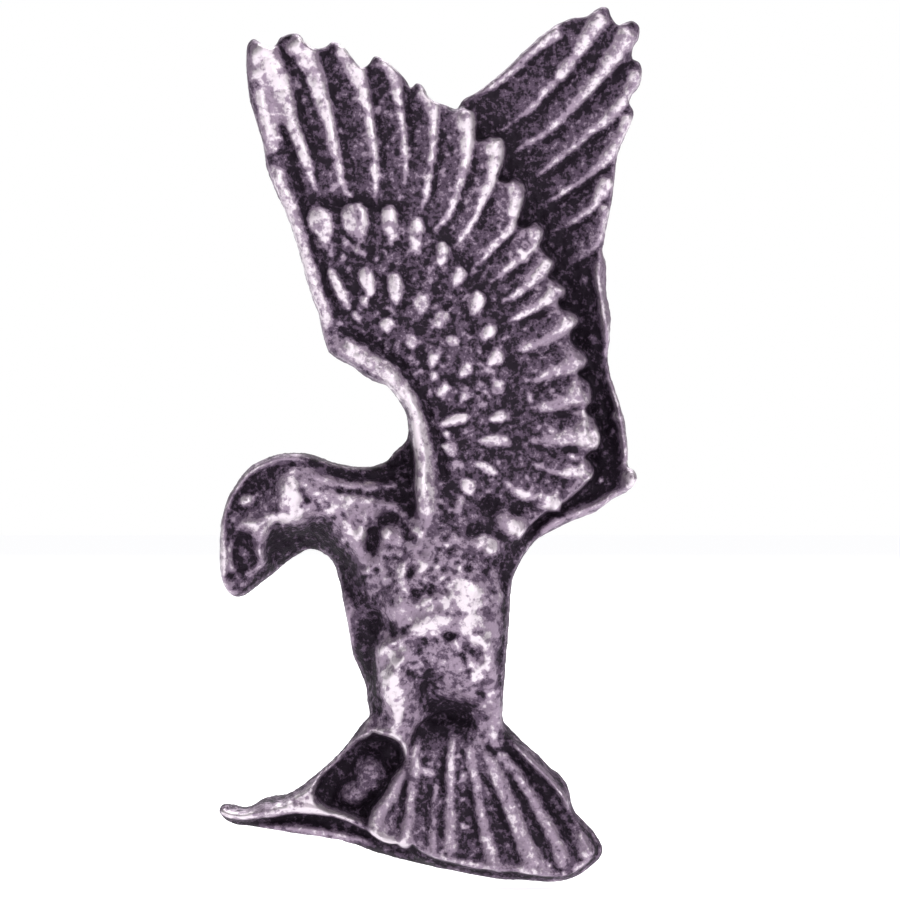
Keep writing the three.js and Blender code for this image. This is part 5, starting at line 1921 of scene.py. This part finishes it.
@dataclass(frozen=True)
class Blank:
    """A flat sheet before it is bent: its outline runs anticlockwise, its holes clockwise."""

    outer: Array
    holes: tuple[Array, ...] = ()
    thick: float = 0.3
    edge: float = 0.07
    lattice: float = 0.16

    def pressed(self, fold: Callable[[Array], tuple[Array, Array]],
                emboss: Callable[[Array], Array]) -> Shell:
        """Presses the blank into shape.

        Args:
            fold: gives each place's point in x and y, and its unit normal.
            emboss: how far each place is pushed along the normal.
        Returns:
            Points and faces of a closed sheet with softened edges.
        """
        loops = (self.outer, *self.holes)
        low, high = self.outer.min(axis=0), self.outer.max(axis=0)
        step = self.lattice
        inner = np.mgrid[low[0]:high[0]:step, low[1]:high[1]:step].reshape(2, -1).T
        inset = [loop_inset(loop, self.edge) for loop in loops]
        clear = within(loop_inset(self.outer, 2.2 * self.edge), inner)
        for hole in self.holes:
            clear &= ~within(loop_inset(hole, 2.2 * self.edge), inner)
        places = np.vstack([*inset, inner[clear]])
        edges = []
        start = 0
        for loop in loops:
            count = len(loop)
            edges += [(start + i, start + (i + 1) % count) for i in range(count)]
            start += count
        found = delaunay_2d_cdt([Vector(p) for p in places.tolist()], edges, [], 0, 1e-6)
        triangles = np.array([f for f in found[2] if len(f) == 3])
        flat = np.array([tuple(p) for p in found[0]])
        centres = flat[triangles].mean(axis=1)
        solid = within(inset[0], centres)
        for hole in inset[1:]:
            solid &= ~within(hole, centres)
        triangles = triangles[solid]
        half = self.thick / 2
        layers = [(flat, half), (flat, -half)]
        total = len(flat)
        faces = [tuple(t) for t in triangles.tolist()]
        faces += [tuple(total + i for i in t[::-1]) for t in triangles.tolist()]
        offset = 2 * total
        first = 0
        for loop in loops:
            count = len(loop)
            rounding = 0.3 * self.edge
            rounded = loop_inset(loop, rounding)
            rims = [(rounded, half - rounding), (loop, half - self.edge),
                    (loop, self.edge - half), (rounded, rounding - half)]
            rings = [[first + i for i in range(count)]]
            for ring, level in rims:
                layers.append((ring, level))
                rings.append([offset + i for i in range(count)])
                offset += count
            rings.append([total + first + i for i in range(count)])
            first += count
            for upper, lower in zip(rings[:-1], rings[1:]):
                faces += [(upper[i], lower[i], lower[(i + 1) % count], upper[(i + 1) % count])
                          for i in range(count)]
        points = []
        for flat_places, level in layers:
            base, normal = fold(flat_places[:, 0])
            out = base + normal * (level + emboss(flat_places))[:, None]
            points.append(np.column_stack([out[:, 0], out[:, 1], flat_places[:, 1]]))
        return np.vstack(points), faces


def combined(*shells: Shell) -> Shell:
    """Several closed shells as one list of points and one of faces.

    Args:
        shells: the shells.
    Returns:
        Points and faces.
    """
    points, faces, start = [], [], 0
    for shell_points, shell_faces in shells:
        points.append(shell_points)
        faces += [tuple(start + i for i in f) for f in shell_faces]
        start += len(shell_points)
    return np.vstack(points), faces


@dataclass(frozen=True)
class PinPost:
    """The pointed post and the flat head by which it is soldered on."""

    head_radius: float = 2.4
    head_thick: float = 0.5
    radius: float = 0.575
    length: float = 9.5
    groove_top: float = 7.1

    def build(self, metal: Metal) -> Piece:
        """Makes the post, with a rolled groove and a ground point.

        Args:
            metal: the finish.
        Returns:
            The finished piece.
        """
        top, neck = self.groove_top, self.radius - 0.13
        body = [(self.head_radius, 0.02), (self.head_radius, self.head_thick),
                (self.radius + 0.12, self.head_thick), (self.radius, self.head_thick + 0.14),
                (self.radius, top - 0.5), (neck, top - 0.34), (neck, top - 0.14), (self.radius, top),
                (self.radius, self.length - 1.3), (0.3, self.length - 0.35),
                (0.13, self.length - 0.05)]
        profile = [(0.0, 0.0), (self.head_radius - 0.1, 0.0), *filleted(body, 0.09),
                   (0.0, self.length)]
        return facing_out(mesh_object("post_turned", *revolved(profile, 72), metal))


@dataclass(frozen=True)
class SolderBead:
    """The uneven fillet of solder round the post's head."""

    inner: float = 2.4
    reach: float = 0.5
    height: float = 0.37

    def build(self, metal: Metal) -> Piece:
        """Makes the bead.

        Args:
            metal: the finish.
        Returns:
            The finished piece.
        """
        arc = [(self.inner + self.reach * (1 - math.sin(t)) + 0.02, self.height * (1 - math.cos(t)))
               for t in np.linspace(0.0, math.pi / 2, 9)]
        profile = [(self.inner - 0.02, 0.0), *arc, (self.inner - 0.02, self.height + 0.01)]
        return facing_out(mesh_object("solder_flowed", *revolved(profile, 96, 0.16), metal))


@dataclass(frozen=True)
class ClutchCup:
    """The drawn cup with its eyelet, its rolled lip and a ring of stamped studs."""

    radius: float = 5.75
    sheet: float = 0.35
    face: float = 1.2
    rim: float = 3.2
    studs: int = 12
    stud_ring: float = 4.1
    stud: float = 0.24

    def build(self, metal: Metal) -> Piece:
        """Makes the cup.

        Args:
            metal: the finish.
        Returns:
            The finished piece.
        """
        r, y, t = self.radius, self.face, self.sheet
        corners = [(0.75, y - 0.25), (0.9, y - 0.24), (1.15, y), (2.2, y), (2.35, y + 0.07),
                   (3.0, y + 0.07), (3.15, y), (r - 0.62, y), (r - 0.18, y + 0.18), (r, y + 0.6),
                   (r, self.rim - 0.2), (r - 0.2, self.rim), (r - 0.75, self.rim),
                   (r - 0.75, self.rim - t), (r - t, self.rim - t), (r - t, y + 0.7),
                   (r - 0.55, y + t + 0.05), (r - 0.85, y + t), (1.15, y + t), (0.75, y + t - 0.1)]
        cup = revolved(filleted(corners, 0.12, True), 144)
        made = facing_out(mesh_object("cup_drawn", *cup, metal))
        return merged(made, self._stamp(y + 0.03, metal))

    def _stamp(self, level: float, metal: Metal) -> Piece:
        """Makes the ring of low round studs at a height, with a node tree.

        Args:
            level: the height of their middles.
            metal: the finish.
        Returns:
            One object with all the studs.
        """
        tree = FormTree("stamped_studs", Count="Int", Ring="Float", Stud="Float")
        circle = tree.node("GeometryNodeMeshCircle", None,
                           {"Vertices": tree.value("Count"), "Radius": tree.value("Ring")})
        upright = tree.node("GeometryNodeTransform", None,
                            {"Geometry": circle, "Rotation": (math.pi / 2, 0.0, 0.0)})
        stud = tree.node("GeometryNodeMeshUVSphere", None,
                         {"Segments": 20, "Rings": 12, "Radius": tree.value("Stud")})
        tree.close(tree.node("GeometryNodeInstanceOnPoints", None,
                             {"Points": upright, "Instance": stud, "Scale": (1.0, 0.42, 1.0)}))
        made = tree.run("studs", bpy.data.meshes.new("stud_seed"), {
            "Count": self.studs, "Ring": self.stud_ring * MM, "Stud": self.stud * MM, "Metal": metal})
        made.data.transform(Matrix.Translation((0.0, level * MM, 0.0)))
        return made


@dataclass(frozen=True)
class ClutchCover:
    """The slotted plate inside the lip, on a skirt that stands on the cup's floor."""

    radius: float = 5.3
    top: float = 2.8
    sheet: float = 0.3
    floor: float = 1.85
    slot: Point = (3.2, 2.5)

    def build(self, metal: Metal) -> Piece:
        """Makes the cover, with a pressed ring round its slot.

        Args:
            metal: the finish.
        Returns:
            The finished piece.
        """
        turn = np.arange(120) * 2 * math.pi / 120
        disc = np.column_stack([np.cos(turn), np.sin(turn)]) * self.radius
        half_x, half_z = self.slot
        corners = [(half_x, -half_z), (-half_x, -half_z), (-half_x, half_z), (half_x, half_z)]
        slot = evened(filleted(corners, 0.35, True), 0.2)
        level = self.top - self.sheet / 2

        def flat(places: Array) -> tuple[Array, Array]:
            """Leaves the sheet flat, facing +Y."""
            base = np.column_stack([places, np.full(len(places), level)])
            return base, np.tile((0.0, 1.0), (len(places), 1))

        def ring(places: Array) -> Array:
            """A shallow ring sunk below the lip's height."""
            return -0.07 * np.exp(-((np.hypot(places[:, 0], places[:, 1]) - 4.35) / 0.16) ** 2)

        plate = Blank(disc, (slot,), self.sheet).pressed(flat, ring)
        skirt = [(self.radius - 0.3, self.floor), (self.radius, self.floor),
                 (self.radius, self.top - 0.2), (self.radius - 0.3, self.top - 0.2)]
        shells = combined(plate, revolved(filleted(skirt, 0.05, True), 120))
        return facing_out(mesh_object("cover_pressed", *shells, metal))


class Side(Enum):
    """Which way a jaw's wing stands: its sign along X, and the height of its tongue."""

    RIGHT = (1, 1.8)
    LEFT = (-1, 2.2)


@dataclass(frozen=True)
class ClutchJaw:
    """A tongue with a long hole that grips the post, bent up into a finger wing."""

    side: Side
    half_width: float = 2.2
    sheet: float = 0.3
    tongue: float = 1.45
    riser: float = 2.75
    waist: float = 3.55
    tip: Point = (4.975, 6.883)
    hole: tuple[float, float, float] = (-0.62, 1.17, 0.62)

    def build(self, metal: Metal) -> Piece:
        """Makes the jaw.

        Args:
            metal: the finish.
        Returns:
            The finished piece.
        """
        sign, level = self.side.value
        bends = [(-self.tongue, level), (self.riser, level), (self.riser, self.waist), self.tip]
        path = evened(filleted(bends, 0.42), 0.05, False)
        steps = np.concatenate([[0.0], np.cumsum(np.linalg.norm(np.diff(path, axis=0), axis=1))])
        length = steps[-1]
        half = self.half_width
        lower = [(0.0, -half * 0.6), (0.5, -half), (2.0, -half), (length - 3.6, -half),
                 (length - 1.9, -half * 0.97), (length - 0.75, -half * 0.78),
                 (length - 0.15, -half * 0.36)]
        blank = [*lower, (length, 0.0), *((x, -z) for x, z in reversed(lower))]
        outer = evened(filleted(blank, 0.5, True), 0.14)
        low, high, radius = self.hole
        round_end = np.linspace(-math.pi / 2, math.pi / 2, 15)
        left = [(low + radius - radius * math.cos(t), radius * math.sin(t)) for t in round_end]
        right = [(high - radius + radius * math.cos(t), -radius * math.sin(t)) for t in round_end]
        hole = np.array([*left, *right]) + (self.tongue, 0.0)

        def fold(places: Array) -> tuple[Array, Array]:
            """Bends the blank up along its path.

            Args:
                places: distances along the blank.
            Returns:
                The points as rows of x and y, and their unit normals.
            """
            at = np.clip(places, 0, length)
            base, ahead, behind = (
                np.column_stack([np.interp(np.clip(at + shift, 0, length), steps, path[:, k])
                                 for k in (0, 1)]) for shift in (0.0, 0.04, -0.04))
            run = (ahead - behind) / np.linalg.norm(ahead - behind, axis=1, keepdims=True)
            return base, np.column_stack([-run[:, 1], run[:, 0]])

        def ribs(places: Array) -> Array:
            """Three finger ribs pressed across the wing.

            Args:
                places: the places, along and across the blank.
            Returns:
                How far each place is pushed.
            """
            pushed = np.zeros(len(places))
            for back in (0.95, 1.55, 2.15):
                across = smooth_step((1.45 - np.abs(places[:, 1])) / 0.35)
                pushed += -0.09 * across * np.exp(-((places[:, 0] - length + back) / 0.15) ** 2)
            return pushed

        points, faces = Blank(outer, (hole,), self.sheet, 0.06, 0.13).pressed(fold, ribs)
        points[:, 0] *= sign
        name = f"jaw_{self.side.name.lower()}_pressed"
        return facing_out(mesh_object(name, points, faces, metal))


@dataclass(frozen=True)
class ClutchSpring:
    """The bow of wire that pushes the wings apart."""

    reach: float = 2.35
    level: float = 3.5
    leg: float = 1.3
    shoulder: float = 0.3
    wire: float = 0.2
    facets: int = 20

    def build(self, metal: Metal) -> Piece:
        """Makes the wire along its bow with a node tree.

        Args:
            metal: the finish.
        Returns:
            The finished piece.
        """
        tree = FormTree("spring_wire", Facets="Int", Wire="Float")
        ring = tree.node("GeometryNodeCurvePrimitiveCircle", None,
                         {"Resolution": tree.value("Facets"), "Radius": tree.value("Wire")})
        tree.close(tree.node("GeometryNodeCurveToMesh", None, {
            "Curve": tree.value("Geometry"), "Profile Curve": ring, "Fill Caps": True}))
        turn = np.linspace(0, math.pi, 33)
        crown = [(self.reach * math.cos(t), self.shoulder + self.reach * math.sin(t)) for t in turn]
        leg = [(self.reach, -self.leg), (self.reach, -self.leg / 2), (self.reach, 0.0)]
        line = [*leg, *crown, *((-x, z) for x, z in reversed(leg))]
        bow = bpy.data.curves.new("bow", "CURVE")
        add_line(bow, [(x, self.level, z) for x, z in line])
        sizes = {"Facets": self.facets, "Wire": self.wire * MM, "Metal": metal}
        return facing_out(tree.run("spring_bow", bow, sizes))


def evened(points: Sequence[Point], step: float, closed: bool = True) -> Array:
    """Points at even steps along straight runs.

    Args:
        points: the corners.
        step: the spacing wanted.
        closed: whether the last corner joins the first.
    Returns:
        The points, without a repeat of the first.
    """
    corners = np.array([*points, points[0]] if closed else points, float)
    run = np.concatenate([[0.0], np.cumsum(np.linalg.norm(np.diff(corners, axis=0), axis=1))])
    count = max(int(round(run[-1] / step)), 8)
    at = np.linspace(0, run[-1], count + 1)
    made = np.column_stack([np.interp(at, run, corners[:, k]) for k in (0, 1)])
    return made[:-1] if closed else made


def merged(main_piece: Piece, extra: Piece) -> Piece:
    """Moves a second object's shells into the first.

    Args:
        main_piece: the piece that stays.
        extra: the object that is taken in and removed.
    Returns:
        The first object.
    """
    shape = bmesh.new()
    shape.from_mesh(main_piece.data)
    shape.from_mesh(extra.data)
    shape.to_mesh(main_piece.data)
    shape.free()
    bpy.data.objects.remove(extra)
    return main_piece


# ---- Studio --------------------------------------------------------------------------------


@dataclass(frozen=True)
class Lamp:
    """A square soft light: its place and side in millimetres, and its power in watts."""

    name: str
    place: Triple
    size: float
    power: float


@dataclass
class Studio:
    """A pale floor, soft lights and the camera."""

    middle: Triple = (-0.30, -3.0, -8.19)
    width: float = 38.775
    lens: float = 200.0
    floor_drop: float = 0.3
    floor_side: float = 900
    floor_near: float = -600
    seen: float = 1.0
    lit: float = 0.165
    lamps: tuple[Lamp, ...] = (
        Lamp("key", (130, -170, 120), 90, 0.19), Lamp("front", (30, -360, 90), 240, 0.27),
        Lamp("fill", (-190, -170, 20), 170, 0.06), Lamp("top", (30, -40, 220), 120, 0.17),
        Lamp("floor_light", (0, 400, 330), 330, 1.6),
    )

    def floor(self, paper: Metal) -> None:
        """Lays the floor just below the badge.

        Args:
            paper: its finish.
        """
        level = CAD_BOX[0][2] / MM - self.floor_drop
        side, near = self.floor_side, self.floor_near
        points = [(-side, near, level), (side, near, level), (side, side, level), (-side, side, level)]
        mesh_object("floor", points, [(0, 1, 2, 3)], paper)

    def sky(self) -> None:
        """Sets a plain surround, white to the eye and dimmer as a light."""
        world = bpy.data.worlds.new("pale_surround")
        bpy.context.scene.world = world
        world.use_nodes = True
        nodes, links = world.node_tree.nodes, world.node_tree.links
        back = nodes["Background"]
        back.inputs["Color"].default_value = (1.0, 1.0, 1.0, 1.0)
        path = nodes.new("ShaderNodeLightPath")
        level = nodes.new("ShaderNodeMapRange")
        level.inputs["To Min"].default_value = self.lit
        level.inputs["To Max"].default_value = self.seen
        links.new(path.outputs["Is Camera Ray"], level.inputs["Value"])
        links.new(level.outputs["Result"], back.inputs["Strength"])

    def light(self, lamp: Lamp) -> None:
        """Adds a lamp, aimed at the badge's middle.

        Args:
            lamp: what it is.
        """
        data = bpy.data.lights.new(lamp.name, "AREA")
        data.shape = "SQUARE"
        data.size = lamp.size * MM
        data.energy = lamp.power
        made = linked(lamp.name, data)
        spot = Vector(lamp.place) * MM
        turn = (Vector(self.middle) * MM - spot).to_track_quat("-Z", "Y").to_matrix().to_4x4()
        made.matrix_world = Matrix.Translation(spot) @ turn

    def camera(self) -> None:
        """Looks straight at the relief from far off."""
        data = bpy.data.cameras.new("camera")
        data.lens = self.lens
        data.clip_start = 0.005
        made = linked("camera", data)
        away = self.width * self.lens / data.sensor_width
        spot = (Vector(self.middle) + Vector((0, -away, 0))) * MM
        made.matrix_world = Matrix.Translation(spot) @ Matrix.Rotation(math.pi / 2, 4, "X")
        bpy.context.scene.camera = made

    def build(self) -> None:
        """Sets the whole studio up."""
        bpy.context.scene.view_settings.view_transform = "Standard"
        self.floor(PalePaper().material())
        self.sky()
        for lamp in self.lamps:
            self.light(lamp)
        self.camera()


def dress(piece: Piece, body: str, node: str) -> None:
    """Fixes a finished piece to its body in place of its solid.

    Args:
        piece: the finished object.
        body: the body that it moves with.
        node: the solid that it stands for.
    """
    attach(piece, body)
    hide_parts(node)
    LOG.info("%s on %s: %d faces", piece.name, body, len(piece.data.polygons))


def main() -> None:
    """Builds the badge piece by piece."""
    logging.basicConfig(level=logging.INFO, format="%(message)s")
    Studio().build()
    pewter, solder = AntiquedPewter().material(), FlowedSolder().material()
    brass, steel = PressedBrass().material(), DrawnSteel().material()
    wire = DrawnSteel("spring_wire", along=(3.0, 9.0, 3.0)).material()
    eagle = EagleCasting()
    eagle.sculpt(pewter)
    dress(eagle.skin(pewter), "badge", "eagle_casting")
    dress(PinPost().build(steel), "badge", "pin_post")
    dress(SolderBead().build(solder), "badge", "solder_bead")
    dress(ClutchCup().build(brass), "clutch", "clutch_cup")
    dress(ClutchCover().build(brass), "clutch", "clutch_cover")
    dress(ClutchJaw(Side.RIGHT).build(brass), "jaw_right", "clutch_jaw_right")
    dress(ClutchJaw(Side.LEFT).build(brass), "jaw_left", "clutch_jaw_left")
    spring = ClutchSpring().build(wire)
    dress(spring, "clutch", "clutch_spring")
    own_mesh(spring)


if __name__ == "__main__":
    main()
